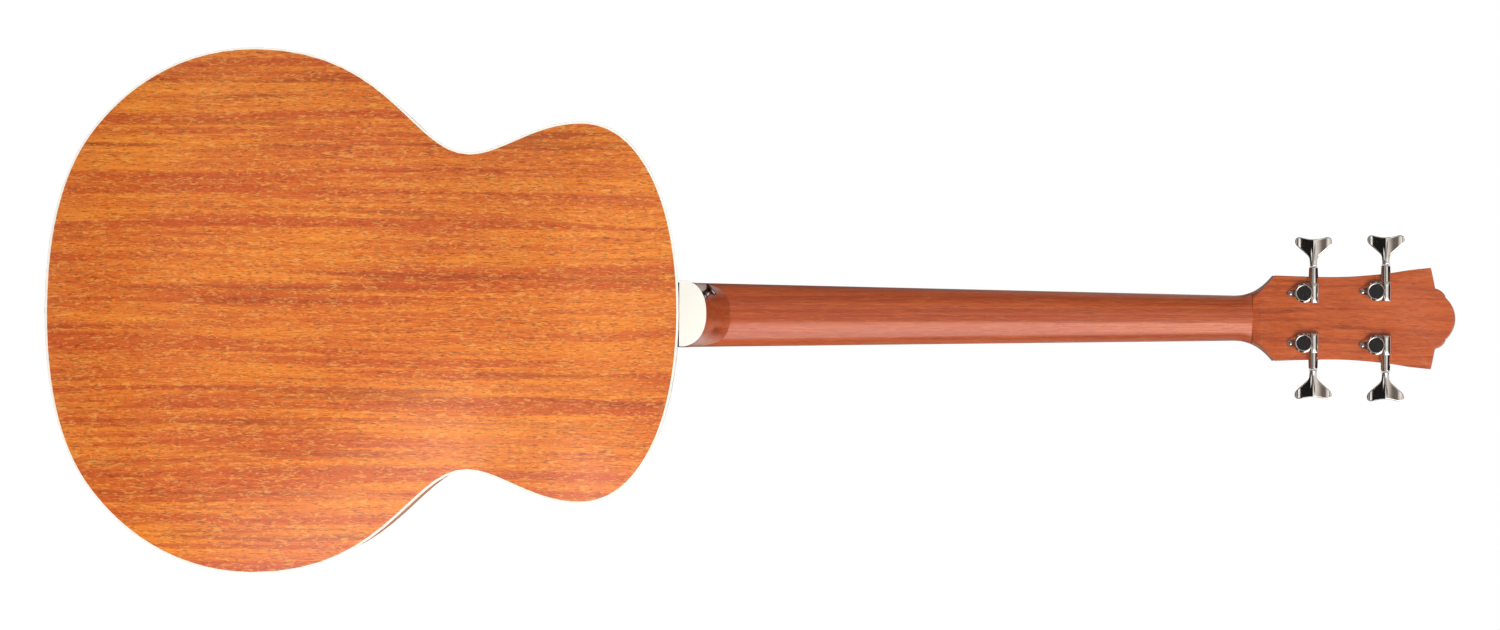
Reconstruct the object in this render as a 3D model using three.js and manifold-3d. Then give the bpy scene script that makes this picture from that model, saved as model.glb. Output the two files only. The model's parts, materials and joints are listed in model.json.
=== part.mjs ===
// Acoustic bass guitar with four strings, an arched back and two tuning machines on each side.
// Millimetres. +Z runs up the neck, +X is the treble side, -Y is the soundboard's side.
// The origin is the centre of the outer face of the tail strap button.
import * as THREE from 'three';
import { mergeVertices } from 'three/addons/utils/BufferGeometryUtils.js';
import Module from 'manifold-3d';

const wasm = await Module();
wasm.setup();

// Driving dimensions: scale and frets
const scale_length = 781;
const fret_count = 23;
const joint_fret = 16;
const saddle_compensation = 3;
const seat_gap = 0.3;
const overrun = 1;

// Driving dimensions: body
const body_length = 511;
const lower_bout_half = 213;
const waist_half = 129.2;
const upper_bout_half = 155;
const tail_depth = 112;
const heel_depth = 96;
const back_crown = 17;
const soundboard_thickness = 3;
const back_thickness = 3.5;
const side_thickness = 2.3;
const binding_width = 2;
const binding_height = 6;
const lining_width = 6.5;
const lining_height = 15;
const soundhole_radius = 50;
const soundhole_fret_gap = 4;

// Driving dimensions: neck
const nut_width = 37.6;
const joint_width = 54;
const neck_depth_nut = 14.2;
const neck_depth_joint = 17;
const board_thickness = 6.5;
const board_radius = 406;
const board_overhang = 5;
const fret_width = 2.4;
const fret_height = 1.1;
const heel_cap_thickness = 2.5;
const heel_half = 27;
const heel_reach = 22;
const heel_fullness = 0.87;
const head_tilt = THREE.MathUtils.degToRad(13);
const head_length = 169;
const head_thickness = 13.5;
const shoulder_half = 35.5;
const head_waist_half = 34.2;
const head_end_half = 41.8;
const face_thickness = 2;

// Driving dimensions: strings, bass to treble
const string_1_diameter = 2.67;
const string_2_diameter = 2.16;
const string_3_diameter = 1.65;
const string_4_diameter = 1.14;
const string_diameters = [string_1_diameter, string_2_diameter, string_3_diameter, string_4_diameter];
const string_spacing_nut = 9.7;
const string_spacing_saddle = 19;
const string_height_saddle = 12.7;
const nut_rise = 1.7;
const winding_turns = 2.5;
const winding_gap = 0.6;
const winding_steps = 18;
const string_sides = 6;

// Driving dimensions: tuning machines
const tuner_near = 46.8;
const tuner_far = 105.7;
const tuner_near_offset = 20.7;
const tuner_far_offset = 22.2;
const gear_module = 0.5;
const wheel_teeth = 20;
const worm_pitch_radius = 2.5;
const mesh_depth = 0.8;
const post_radius = 4.6;
const post_waist_radius = 4.1;
const post_rise = 20;

// Places worked out from the driving dimensions
const strap_button_height = 8.7;
const tail_z = strap_button_height + seat_gap;
const neck_end_z = tail_z + body_length;
const fret_distance = (fret) => scale_length * (1 - 2 ** (-fret / 12));
const nut_z = neck_end_z + fret_distance(joint_fret);
const saddle_z = nut_z - scale_length - saddle_compensation;
const front_y = -tail_depth / 2;
const board_end_z = nut_z - fret_distance(fret_count) - board_overhang;
const soundhole_z = board_end_z - soundhole_fret_gap - soundhole_radius;
const board_y = front_y - seat_gap;
const board_top_y = board_y - board_thickness;
const rim_y = (z) => front_y + tail_depth + (heel_depth - tail_depth) * (z - tail_z) / body_length;

// Materials
const finish = (color, roughness, metalness = 0) =>
  new THREE.MeshStandardMaterial({ color, roughness, metalness });
const mahogany = finish(0xc8682c, 0.45);
const neck_wood = finish(0x8f4526, 0.45);
const spruce = finish(0xd9b178, 0.5);
const ivory = finish(0xf6f0dc, 0.35);
const rosewood = finish(0x3a2419, 0.5);
const bone = finish(0xe9e2cd, 0.4);
const black_plastic = finish(0x151515, 0.3);
const nickel = finish(0x6f6c6a, 0.2, 1);
const steel = finish(0xa8a8a6, 0.3, 1);
const brass = finish(0xb08d4a, 0.35, 1);
const bronze = finish(0xa9835a, 0.4, 1);
const nylon = finish(0xd8d8d6, 0.5);

// Meshes and booleans
function weld(geometry) {
  const bare = geometry.clone();
  bare.deleteAttribute('normal');
  bare.deleteAttribute('uv');
  const merged = mergeVertices(bare, 1e-4);
  const index = merged.index.array;
  const kept = [];
  for (let i = 0; i < index.length; i += 3) {
    const [a, b, c] = [index[i], index[i + 1], index[i + 2]];
    if (a !== b && b !== c && c !== a) kept.push(a, b, c);
  }
  merged.setIndex(kept);
  return merged;
}

function solidOf(geometry) {
  const merged = weld(geometry);
  const vertProperties = new Float32Array(merged.attributes.position.array);
  const triVerts = new Uint32Array(merged.index.array);
  return new wasm.Manifold(new wasm.Mesh({ numProp: 3, vertProperties, triVerts }));
}

function geometryOf(manifold) {
  const mesh = manifold.getMesh();
  const geometry = new THREE.BufferGeometry();
  geometry.setAttribute('position', new THREE.BufferAttribute(new Float32Array(mesh.vertProperties), 3));
  geometry.setIndex(Array.from(mesh.triVerts));
  return geometry;
}

const cut = (geometry, ...cutters) =>
  geometryOf(cutters.reduce((left, cutter) => left.subtract(solidOf(cutter)), solidOf(geometry)));
const joined = (geometry, ...others) =>
  geometryOf(others.reduce((whole, other) => whole.add(solidOf(other)), solidOf(geometry)));
const shared = (geometry, other) => geometryOf(solidOf(geometry).intersect(solidOf(other)));

// A closed mesh from points and triangles, with its faces turned outwards
function closedMesh(points, triangles) {
  const cross = new THREE.Vector3();
  const volume = triangles.reduce(
    (sum, [a, b, c]) => sum + points[a].dot(cross.crossVectors(points[b], points[c])), 0);
  const index = triangles.flatMap(([a, b, c]) => (volume < 0 ? [a, c, b] : [a, b, c]));
  const geometry = new THREE.BufferGeometry().setFromPoints(points);
  geometry.setIndex(index);
  return geometry;
}

// A skin over like sections, closed into a loop or capped with fans at both ends
function loft(sections, looped = false) {
  const count = sections[0].length;
  const points = sections.flat();
  const triangles = [];
  const spans = looped ? sections.length : sections.length - 1;
  for (let i = 0; i < spans; i += 1) {
    const here = i * count;
    const next = ((i + 1) % sections.length) * count;
    for (let j = 0; j < count; j += 1) {
      const k = (j + 1) % count;
      triangles.push([here + j, here + k, next + k], [here + j, next + k, next + j]);
    }
  }
  if (!looped) {
    const last = (sections.length - 1) * count;
    for (let j = 1; j < count - 1; j += 1) {
      triangles.push([0, j + 1, j], [last, last + j, last + j + 1]);
    }
  }
  return closedMesh(points, triangles);
}

function mirrored(geometry) {
  const copy = weld(geometry);
  copy.scale(-1, 1, 1);
  const index = copy.index.array;
  for (let i = 0; i < index.length; i += 3) {
    [index[i + 1], index[i + 2]] = [index[i + 2], index[i + 1]];
  }
  return copy;
}

const vec = (x, y, z) => new THREE.Vector3(x, y, z);
const flat = (x, y) => new THREE.Vector2(x, y);

// A plate whose outline is drawn in X and Z, with its front face at y
function plate(outline, y, thickness, holes = []) {
  const shape = new THREE.Shape(outline);
  shape.holes = holes.map((hole) => new THREE.Path(hole));
  const geometry = new THREE.ExtrudeGeometry(shape, { depth: thickness, bevelEnabled: false });
  geometry.rotateX(Math.PI / 2);
  return geometry.translate(0, y + thickness, 0);
}

function box(x0, x1, y0, y1, z0, z1) {
  return new THREE.BoxGeometry(x1 - x0, y1 - y0, z1 - z0)
    .translate((x0 + x1) / 2, (y0 + y1) / 2, (z0 + z1) / 2);
}

// A round bar along Z, from z0 to z1
function rod(radius, z0, z1, sides = 16) {
  return new THREE.CylinderGeometry(radius, radius, z1 - z0, sides)
    .rotateX(Math.PI / 2).translate(0, 0, (z0 + z1) / 2);
}

// A turned piece about Z, from radius and height pairs
function turned(profile, sides = 16) {
  const points = profile.map(([radius, height]) => flat(radius, height));
  return new THREE.LatheGeometry(points, sides).rotateX(Math.PI / 2);
}

const root = new THREE.Group();

function add(name, geometry, material, parent = root) {
  const mesh = new THREE.Mesh(weld(geometry), material);
  mesh.name = name;
  parent.add(mesh);
  return mesh;
}

// The body's outline: six cubic curves from the tail to the neck. Each point is a share of the body's
// length and a share of one of the three half widths.
const outline_shares = [
  [lower_bout_half, [0, 0], [0, 0.373], [0.036, 0.574], [0.074, 0.69]],
  [lower_bout_half, [0.074, 0.69], [0.108, 0.797], [0.19, 1], [0.33, 1]],
  [lower_bout_half, [0.33, 1], [0.542, 1], [0.58, waist_half / lower_bout_half],
    [0.666, waist_half / lower_bout_half]],
  [upper_bout_half, [0.666, waist_half / upper_bout_half], [0.716, waist_half / upper_bout_half],
    [0.768, 1], [0.843, 1]],
  [upper_bout_half, [0.843, 1], [0.894, 1], [0.924, 0.896], [0.944, 0.797]],
  [upper_bout_half, [0.944, 0.797], [0.97, 0.672], [1, 0.42], [1, 0]],
];
const outline_steps = [5, 5, 6, 5, 4, 4];
const along = (share) => tail_z + share * body_length;

// Half of the outline, from the tail to the neck, moved inwards by an inset
function halfOutline(inset) {
  const points = [];
  outline_shares.forEach(([half, ...shares], piece) => {
    const controls = shares.map(([share, width]) => flat(width * half, along(share)));
    const curve = new THREE.CubicBezierCurve(...controls);
    for (let step = piece ? 1 : 0; step <= outline_steps[piece]; step += 1) {
      const t = step / outline_steps[piece];
      const place = curve.getPoint(t);
      const heading = curve.getTangent(t);
      points.push(flat(place.x - inset * heading.y, place.y + inset * heading.x));
    }
  });
  points[0].x = 0;
  points[points.length - 1].x = 0;
  return points;
}

function wholeOutline(inset) {
  const half = halfOutline(inset);
  const other = half.slice(1, -1).reverse().map((point) => flat(-point.x, point.y));
  return [...half, ...other];
}

// A strip of rectangular section that follows the outline between two insets
function rimStrip(outer_points, inner_points, low, high, looped) {
  const sections = outer_points.map((outer, i) => {
    const inner = inner_points[i];
    return [
      vec(outer.x, low(outer.y), outer.y), vec(outer.x, high(outer.y), outer.y),
      vec(inner.x, high(inner.y), inner.y), vec(inner.x, low(inner.y), inner.y),
    ];
  });
  return loft(sections, looped);
}
const rimRing = (outer_inset, inner_inset, low, high) =>
  rimStrip(wholeOutline(outer_inset), wholeOutline(inner_inset), low, high, true);

// Soundboard, with its soundhole
const plate_inset = binding_width + seat_gap;
const soundboard_inner_y = front_y + soundboard_thickness;
const hole_steps = 32;
const soundhole = [...Array(hole_steps).keys()].map((step) => {
  const angle = (2 * Math.PI * step) / hole_steps;
  return flat(soundhole_radius * Math.cos(angle), soundhole_z + soundhole_radius * Math.sin(angle));
});

// Bridge: pins behind the saddle, a straight saddle slot and four drilled holes
const bridge_half = 82;
const bridge_depth = 36;
const bridge_height = 9;
const bridge_wing_height_share = 0.62;
const pin_setback = 15;
const pin_radius = 2.6;
const pin_head_radius = 3.8;
const pin_head_height = 3.5;
const saddle_thickness = 3;
const saddle_half = 40;
const saddle_slot_depth = 5;
const bridge_back_y = front_y - seat_gap;
const bridge_front_y = bridge_back_y - bridge_height;
const pin_z = saddle_z - pin_setback;
const bridge_z = (saddle_z + pin_z) / 2;
const string_x = (spacing, i) => (i - 1.5) * spacing;
const string_radius = (i) => string_diameters[i] / 2;
const string_slot_z = (i) => pin_z + pin_radius - string_radius(i) * 0.4;
const bridge_plate_thickness = 2.5;
const bridge_plate_y = soundboard_inner_y + seat_gap;
const pin_length = bridge_height + soundboard_thickness + bridge_plate_thickness;

function pinHoles(y0, y1) {
  return string_diameters.flatMap((diameter, i) => {
    const x = string_x(string_spacing_saddle, i);
    const upright = (radius, z) => new THREE.CylinderGeometry(radius, radius, y1 - y0, 8)
      .translate(x, (y0 + y1) / 2, z);
    return [upright(pin_radius + seat_gap, pin_z), upright(diameter / 2 + seat_gap, string_slot_z(i))];
  });
}

const holes_through_board = pinHoles(front_y - overrun, soundboard_inner_y + overrun);
add('soundboard', cut(plate(wholeOutline(plate_inset), front_y, soundboard_thickness, [soundhole]),
  ...holes_through_board), spruce);

// Arched back plate: it rises from its edge over a distance a little short of half the waist
const back_middle_z = along(0.46);
const arch_reach = 0.97 * waist_half;
const back_ring_shares = [1, 0.88, 0.7, 0.4];
function archRise(rim, x, z) {
  const distance = Math.min(...rim.map((start, i) => {
    const end = rim[(i + 1) % rim.length];
    const edge = end.clone().sub(start);
    const share = THREE.MathUtils.clamp(flat(x, z).sub(start).dot(edge) / edge.lengthSq(), 0, 1);
    return start.clone().addScaledVector(edge, share).distanceTo(flat(x, z));
  }));
  return back_crown * (1 - (1 - Math.min(1, distance / arch_reach)) ** 2);
}

function backPlate() {
  const rim = wholeOutline(plate_inset);
  const surface = (drop) => {
    const rings = back_ring_shares.map((share) => rim.map((point) => {
      const x = point.x * share;
      const z = back_middle_z + (point.y - back_middle_z) * share;
      return vec(x, rim_y(z) + archRise(rim, x, z) - drop, z);
    }));
    return [...rings.flat(), vec(0, rim_y(back_middle_z) + back_crown - drop, back_middle_z)];
  };
  const outer = surface(0);
  const inner = surface(back_thickness);
  const count = rim.length;
  const shift = outer.length;
  const triangles = [];
  const pair = (a, b, c) => triangles.push([a, b, c], [shift + a, shift + c, shift + b]);
  for (let j = 0; j < count; j += 1) {
    const k = (j + 1) % count;
    back_ring_shares.slice(1).forEach((share, i) => {
      pair(i * count + j, i * count + k, (i + 1) * count + k);
      pair(i * count + j, (i + 1) * count + k, (i + 1) * count + j);
    });
    pair(shift - 1 - count + j, shift - 1 - count + k, shift - 1);
    triangles.push([j, shift + k, k], [j, shift + j, shift + k]);
  }
  return closedMesh([...outer, ...inner], triangles);
}
add('back_plate', backPlate(), mahogany);

// Bindings let into the corners of the body
add('binding_front', rimRing(0, binding_width, () => front_y, () => front_y + binding_height), ivory);
add('binding_back', rimRing(0, binding_width, (z) => rim_y(z) - binding_height, rim_y), ivory);

// Sides, bent in two halves that leave room for the neck's tenon
const tenon_half = 11;
const tenon_depth = 22;
const side_low = () => front_y + binding_height + seat_gap;
const side_high = (z) => rim_y(z) - binding_height - seat_gap;
const sideHalf = () => {
  const outer = halfOutline(0);
  const inner = halfOutline(side_thickness);
  const last = outer.length - 1;
  const end = tenon_half + 2 * seat_gap;
  [outer, inner].forEach((points) => {
    points[0].x = seat_gap / 2;
    points[last].x = end;
  });
  return rimStrip(outer, inner, side_low, side_high, false);
};
add('side_treble', sideHalf(), mahogany);
add('side_bass', mirrored(sideHalf()), mahogany);

// Linings glued inside the corners
const lining_inset = side_thickness + seat_gap;
const lining_front_low = soundboard_inner_y + seat_gap;
const back_inner_y = (z) => rim_y(z) - back_thickness - seat_gap;
add('lining_front', rimRing(lining_inset, lining_inset + lining_width,
  () => lining_front_low, () => lining_front_low + lining_height), mahogany);
add('lining_back', rimRing(lining_inset, lining_inset + lining_width,
  (z) => back_inner_y(z) - lining_height, back_inner_y), mahogany);

// Neck block and tail block, notched for the linings; the neck block is mortised for the tenon
const block_half = 38;
const neck_block_depth = 48;
const tail_block_depth = 22;
const tenon_front_y = lining_front_low + lining_height + 3 * seat_gap;
const tenon_back_y = back_inner_y(neck_end_z) - lining_height - 3 * seat_gap;
const lining_notches = () => [
  rimRing(lining_inset - overrun, lining_inset + lining_width + seat_gap,
    () => lining_front_low - overrun, () => lining_front_low + lining_height + seat_gap),
  rimRing(lining_inset - overrun, lining_inset + lining_width + seat_gap,
    (z) => back_inner_y(z) - lining_height - seat_gap, (z) => back_inner_y(z) + overrun),
];
function blockBetween(z0, z1, mortises) {
  const high = Math.min(back_inner_y(z0), back_inner_y(z1));
  const inside = plate(wholeOutline(lining_inset), lining_front_low, high - lining_front_low);
  const blank = box(-block_half, block_half, lining_front_low - overrun, high + overrun, z0, z1);
  return cut(shared(inside, blank), ...lining_notches(), ...mortises);
}
const tenon_start_z = neck_end_z - tenon_depth;
const mortise = box(-tenon_half - seat_gap, tenon_half + seat_gap, tenon_front_y - seat_gap,
  tenon_back_y + seat_gap, tenon_start_z - seat_gap, neck_end_z + overrun);
add('neck_block', blockBetween(neck_end_z - neck_block_depth, neck_end_z, [mortise]), mahogany);
add('tail_block', blockBetween(tail_z, tail_z + tail_block_depth, []), mahogany);

// Braces under the soundboard: bars with tapered ends, glued on edge
const brace_y = soundboard_inner_y + seat_gap;
const brace_width = 8;
const brace_height = 14;
const brace_end_height = 5;
const brace_taper = 45;
const cross_drop = 30;
const cross_z = soundhole_z - soundhole_radius - cross_drop;
const cross_angle = THREE.MathUtils.degToRad(42);
const lower_leg = 245;
const upper_leg = 168;

function brace(length, width, height, angle, x, z) {
  const half = length / 2;
  const shape = new THREE.Shape([
    flat(-half, 0), flat(half, 0), flat(half, brace_end_height), flat(half - brace_taper, height),
    flat(brace_taper - half, height), flat(-half, brace_end_height),
  ]);
  return new THREE.ExtrudeGeometry(shape, { depth: width, bevelEnabled: false })
    .translate(0, 0, -width / 2).rotateY(angle).translate(x, brace_y, z);
}

function crossBar(side) {
  const angle = side > 0 ? cross_angle : Math.PI - cross_angle;
  const shift = (lower_leg - upper_leg) / 2;
  return brace(lower_leg + upper_leg, brace_width, brace_height, angle,
    side * shift * Math.cos(cross_angle), cross_z - shift * Math.sin(cross_angle));
}

// The half of a lap that each bar gives up to the other
function lapCutter(side, from, to) {
  const angle = side > 0 ? cross_angle : Math.PI - cross_angle;
  return new THREE.BoxGeometry(6 * brace_width, to - from, brace_width + 2 * seat_gap)
    .rotateY(angle).translate(0, brace_y + (from + to) / 2, cross_z);
}
const lap_gap = seat_gap / 2;
const upper_lap = lapCutter(-1, brace_height / 2 - lap_gap, brace_height + overrun);
add('x_brace_treble', cut(crossBar(1), upper_lap), spruce);
add('x_brace_bass', cut(crossBar(-1), lapCutter(1, -overrun, brace_height / 2 + lap_gap)), spruce);

const transverse_z = board_end_z + 4 * brace_width;
const transverse_length = 1.66 * upper_bout_half;
add('transverse_brace', brace(transverse_length, 1.2 * brace_width, brace_height, 0, 0, transverse_z), spruce);

// Bridge plate under the soundboard, between the legs of the cross
const bridge_plate_tail_margin = 8;
const bridge_plate_neck_margin = 14;
const bridge_plate_leg_gap = 3;
const plate_low_z = pin_z - bridge_plate_tail_margin;
const plate_high_z = saddle_z + bridge_plate_neck_margin;
const leg_clearance = brace_width / 2 / Math.sin(cross_angle) + bridge_plate_leg_gap;
const between_legs = (z) => (cross_z - z) / Math.tan(cross_angle) - leg_clearance;
const plate_outline = [
  flat(-between_legs(plate_low_z), plate_low_z), flat(between_legs(plate_low_z), plate_low_z),
  flat(between_legs(plate_high_z), plate_high_z), flat(-between_legs(plate_high_z), plate_high_z),
];
add('bridge_plate', cut(plate(plate_outline, bridge_plate_y, bridge_plate_thickness),
  ...pinHoles(bridge_plate_y - overrun, bridge_plate_y + bridge_plate_thickness + overrun)), rosewood);

// Tone bar, slanting across the board between the tail block and the bridge plate
const tone_bar_length = 0.9 * lower_bout_half;
const tone_bar_width = 6.4;
const tone_bar_height = 9.8;
const tone_bar_angle = THREE.MathUtils.degToRad(14);
const tone_bar_place_share = 0.77;
const tone_bar_rise = (tone_bar_length / 2) * Math.sin(tone_bar_angle) + tone_bar_width / 2;
const tone_bar_low_z = tail_z + tail_block_depth + tone_bar_rise;
const tone_bar_high_z = plate_low_z - tone_bar_rise;
add('tone_bar', brace(tone_bar_length, tone_bar_width, tone_bar_height, tone_bar_angle, 0,
  tone_bar_low_z + tone_bar_place_share * (tone_bar_high_z - tone_bar_low_z)), spruce);

// Bridge, saddle and pins
const bridge_shares = [
  [1, 0.25], [0.98, 0.42], [0.8, 0.48], [0.64, 0.6], [0.56, 0.86], [0.46, 1], [-0.46, 1], [-0.56, 0.86],
  [-0.64, 0.6], [-0.8, 0.48], [-0.98, 0.42], [-1, 0.25], [-1, -0.25], [-0.98, -0.42], [-0.8, -0.5],
  [-0.5, -0.86], [-0.28, -1], [0.28, -1], [0.5, -0.86], [0.8, -0.5], [0.98, -0.42], [1, -0.25],
];
const bridge_outline = bridge_shares.map(([x, z]) => flat(x * bridge_half, bridge_z + z * bridge_depth / 2));
const saddleBlank = (gap, y0, y1) => box(-saddle_half - gap, saddle_half + gap, y0, y1,
  saddle_z - saddle_thickness / 2 - gap, saddle_z + saddle_thickness / 2 + gap);
const bridge_wing_y = bridge_back_y - bridge_wing_height_share * bridge_height;
const wing_start_share = 0.66;
const wingCutter = (side) => {
  const ends = [side * wing_start_share * bridge_half, side * (bridge_half + overrun)];
  return box(Math.min(...ends), Math.max(...ends), bridge_front_y - overrun, bridge_wing_y,
    bridge_z - bridge_depth, bridge_z + bridge_depth);
};
add('bridge', cut(plate(bridge_outline, bridge_front_y, bridge_height), wingCutter(1), wingCutter(-1),
  saddleBlank(seat_gap, bridge_front_y - overrun, bridge_front_y + saddle_slot_depth),
  ...pinHoles(bridge_front_y - overrun, bridge_back_y + overrun)), rosewood);

const saddle_top_y = front_y - string_height_saddle;
add('saddle', saddleBlank(0, saddle_top_y, bridge_front_y + saddle_slot_depth - seat_gap), bone);

function pinBody(i) {
  const x = string_x(string_spacing_saddle, i);
  const tip_share = 0.85;
  const profile = [
    [0, -pin_head_height], [0.7 * pin_head_radius, -pin_head_height],
    [pin_head_radius, -0.5 * pin_head_height], [0.9 * pin_head_radius, -seat_gap],
    [pin_radius, -seat_gap], [pin_radius * tip_share, pin_length], [0, pin_length],
  ];
  const points = profile.map(([radius, height]) => flat(radius, height));
  const body = new THREE.LatheGeometry(points, 14).translate(x, bridge_front_y, pin_z);
  const groove_radius = string_radius(i) + seat_gap;
  const groove_length = pin_length + 2 * pin_head_height;
  const groove = new THREE.CylinderGeometry(groove_radius, groove_radius, groove_length, 12)
    .translate(x, bridge_front_y + groove_length / 2 - 2 * pin_head_height, string_slot_z(i));
  const mouth = box(x - groove_radius, x + groove_radius, bridge_front_y - 2 * pin_head_height,
    bridge_front_y + pin_length + pin_head_height, string_slot_z(i), pin_z + 2 * pin_head_radius);
  return cut(body, groove, mouth);
}
string_diameters.forEach((diameter, i) => add(`bridge_pin_${i + 1}`, pinBody(i), bone));

// Pickguard on the treble side of the soundhole
const guard_thickness = 1.2;
const guard_margin = 12;
const guard_inner_radius = soundhole_radius + guard_margin;
const guard_start = THREE.MathUtils.degToRad(62);
const guard_end = THREE.MathUtils.degToRad(-78);
const guard_steps = 12;
const guard_outer_shares = [[2.05, -1.62], [2.3, -1.25], [2.32, -0.75], [2.16, -0.2], [1.92, 0.35],
  [1.62, 0.85], [1.25, 1.2]];
const guard_arc = [...Array(guard_steps + 1).keys()].map((step) => {
  const angle = guard_start + ((guard_end - guard_start) * step) / guard_steps;
  return flat(guard_inner_radius * Math.cos(angle), soundhole_z + guard_inner_radius * Math.sin(angle));
});
const guard_outer = guard_outer_shares.map(([x, z]) =>
  flat(x * soundhole_radius, soundhole_z + z * soundhole_radius));
add('pickguard', plate([...guard_arc, ...guard_outer], front_y - seat_gap - guard_thickness, guard_thickness),
  black_plastic);

// Neck: a loft of half-round sections that flares into the back of the headstock
const head_start_gap = 5.5;
const head_z = nut_z + head_start_gap;
const head_rise = Math.tan(head_tilt);
const head_back_offset = head_thickness / Math.cos(head_tilt);
const shoulder_along = 22.1;
const head_flat_start = 4.5;
const head_flat_half = 14.8;
const flare_length = 34;
const section_steps = 6;
const neck_flat_share = 0.02;
const head_flat_share = 0.98;
const width_at = (z) => nut_width + (joint_width - nut_width) * (nut_z - z) / (nut_z - neck_end_z);
const neck_top_y = (z) => front_y + Math.max(0, (z - head_z) * head_rise);
const head_back_y = (z) => front_y + (z - head_z) * head_rise + head_back_offset;
const shoulder_z = head_z + shoulder_along * Math.cos(head_tilt) - head_thickness * Math.sin(head_tilt);
const flat_start_z = head_z + head_flat_start * Math.cos(head_tilt) - head_thickness * Math.sin(head_tilt);

// Half width, depth and width of the flat back of the neck at a height z
function neckShape(z) {
  const flare = Math.max(0, (z - (shoulder_z - flare_length)) / flare_length);
  const plain = width_at(Math.min(z, nut_z)) / 2;
  const half = plain + (shoulder_half - plain) * Math.min(1, flare) ** 2.6;
  const shaft_depth = neck_depth_nut
    + (neck_depth_joint - neck_depth_nut) * (nut_z - z) / (nut_z - neck_end_z);
  const into_head = z > flat_start_z;
  const flat_half = into_head
    ? head_flat_half + (shoulder_half - head_flat_half) * (z - flat_start_z) / (shoulder_z - flat_start_z)
    : neck_flat_share * half;
  const back = into_head ? head_back_y(z) : Math.min(front_y + shaft_depth, head_back_y(flat_start_z));
  return { half, flat_half: Math.min(flat_half, half * head_flat_share), top: neck_top_y(z), back };
}

function neckSection(z) {
  const { half, flat_half, top, back } = neckShape(z);
  const side = [];
  for (let step = 0; step <= section_steps; step += 1) {
    const angle = (Math.PI / 2) * (step / section_steps);
    side.push([flat_half + (half - flat_half) * Math.cos(angle), top + (back - top) * Math.sin(angle)]);
  }
  const other = side.map(([x, y]) => [-x, y]).reverse();
  return [...side, ...other].map(([x, y]) => vec(x, y, z));
}
const shaft_shares = [0, 0.2, 0.4, 0.6, 0.8];
const flare_shares = [0, 0.25, 0.45, 0.6, 0.72, 0.84, 0.93, 1];
const flare_start_z = shoulder_z - flare_length;
const shaft_start_z = neck_end_z + seat_gap;
const neck_stations = [
  ...shaft_shares.map((share) => shaft_start_z + share * (flare_start_z - shaft_start_z)),
  ...flare_shares.map((share) => flare_start_z + share * flare_length),
];

// Headstock blade, drawn in its own tilted plane: X across, Y from the nut to the tip, Z to the front
const head_frame = new THREE.Matrix4().makeRotationX(Math.PI / 2 - head_tilt).setPosition(0, front_y, head_z);
const placed = (geometry) => geometry.clone().applyMatrix4(head_frame);
const crest_shares = [
  [0.883, 1], [0.905, 0.596], [0.936, 0.565], [0.949, 0.486], [0.955, 0.411], [0.965, 0.354],
  [0.981, 0.282], [0.994, 0.17],
];
const head_waist_along = 68.8;
function headOutline(start) {
  const half = [
    flat(shoulder_half * 0.97, start), flat(shoulder_half, shoulder_along),
    flat(shoulder_half * 0.978, 0.27 * head_length),
    flat(head_waist_half, head_waist_along), flat(head_waist_half * 1.02, 0.53 * head_length),
    flat(head_waist_half * 1.09, 0.68 * head_length), flat(head_end_half * 0.955, 0.78 * head_length),
    ...crest_shares.map(([y, x]) => flat(x * head_end_half, y * head_length)),
  ];
  return [...half, flat(0, head_length), ...half.reverse().map((point) => flat(-point.x, point.y))];
}
const blade = (outline, z0, z1) => new THREE.ExtrudeGeometry(new THREE.Shape(outline),
  { depth: z1 - z0, bevelEnabled: false }).translate(0, 0, z0);

// Heel: D-shaped sections from the cap down into the shaft
const heel_cap_y = rim_y(neck_end_z);
const heel_back_y = heel_cap_y - heel_cap_thickness - seat_gap;
const heel_levels = [[0, 1, 1], [0.1, 0.975, 1], [0.28, 0.98, 1.005], [0.44, 1.06, 1.01], [0.6, 1.23, 1.01],
  [0.73, 1.5, 1.01], [0.84, 1.86, 1.01], [0.93, 2.35, 1.005]];
const heel_arc_steps = 10;
const fuller = (share) => Math.sign(share) * Math.abs(share) ** heel_fullness;
const heelPoint = (half, reach, angle) =>
  flat(half * fuller(Math.cos(angle)), neck_end_z + seat_gap + reach * fuller(Math.max(0, Math.sin(angle))));
const heelOutline = (half, reach) => [...Array(heel_arc_steps + 1).keys()].map((step) =>
  heelPoint(half, reach, (Math.PI * step) / heel_arc_steps));
const heel_sections = heel_levels.map(([share, reach, half]) => {
  const y = heel_back_y + share * (front_y - heel_back_y);
  return heelOutline(half * heel_half, reach * heel_reach).map((point) => vec(point.x, y, point.y));
});
const tenon = box(-tenon_half, tenon_half, tenon_front_y, tenon_back_y, tenon_start_z, neck_end_z + 2 * overrun);

// Truss rod channel, opened into a pocket behind the nut
const truss_radius = 3;
const truss_y = front_y + 2 * truss_radius;
const truss_start_z = neck_end_z + heel_reach;
const truss_nut_radius = 4.4;
const truss_nut_length = 10;
const truss_nut_setback = 5;
const truss_nut_z = head_z + truss_nut_setback;
const pocket_half = 6.5;
const pocket_room = 9;
const pocket_end_z = truss_nut_z + truss_nut_length + pocket_room;
const truss_channel = box(-truss_radius - seat_gap, truss_radius + seat_gap, front_y - overrun,
  truss_y + truss_radius + seat_gap, truss_start_z - seat_gap, head_z + overrun);
const truss_pocket = box(-pocket_half, pocket_half, front_y - 4 * overrun,
  truss_y + truss_nut_radius + 2 * seat_gap, head_z, pocket_end_z);

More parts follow.
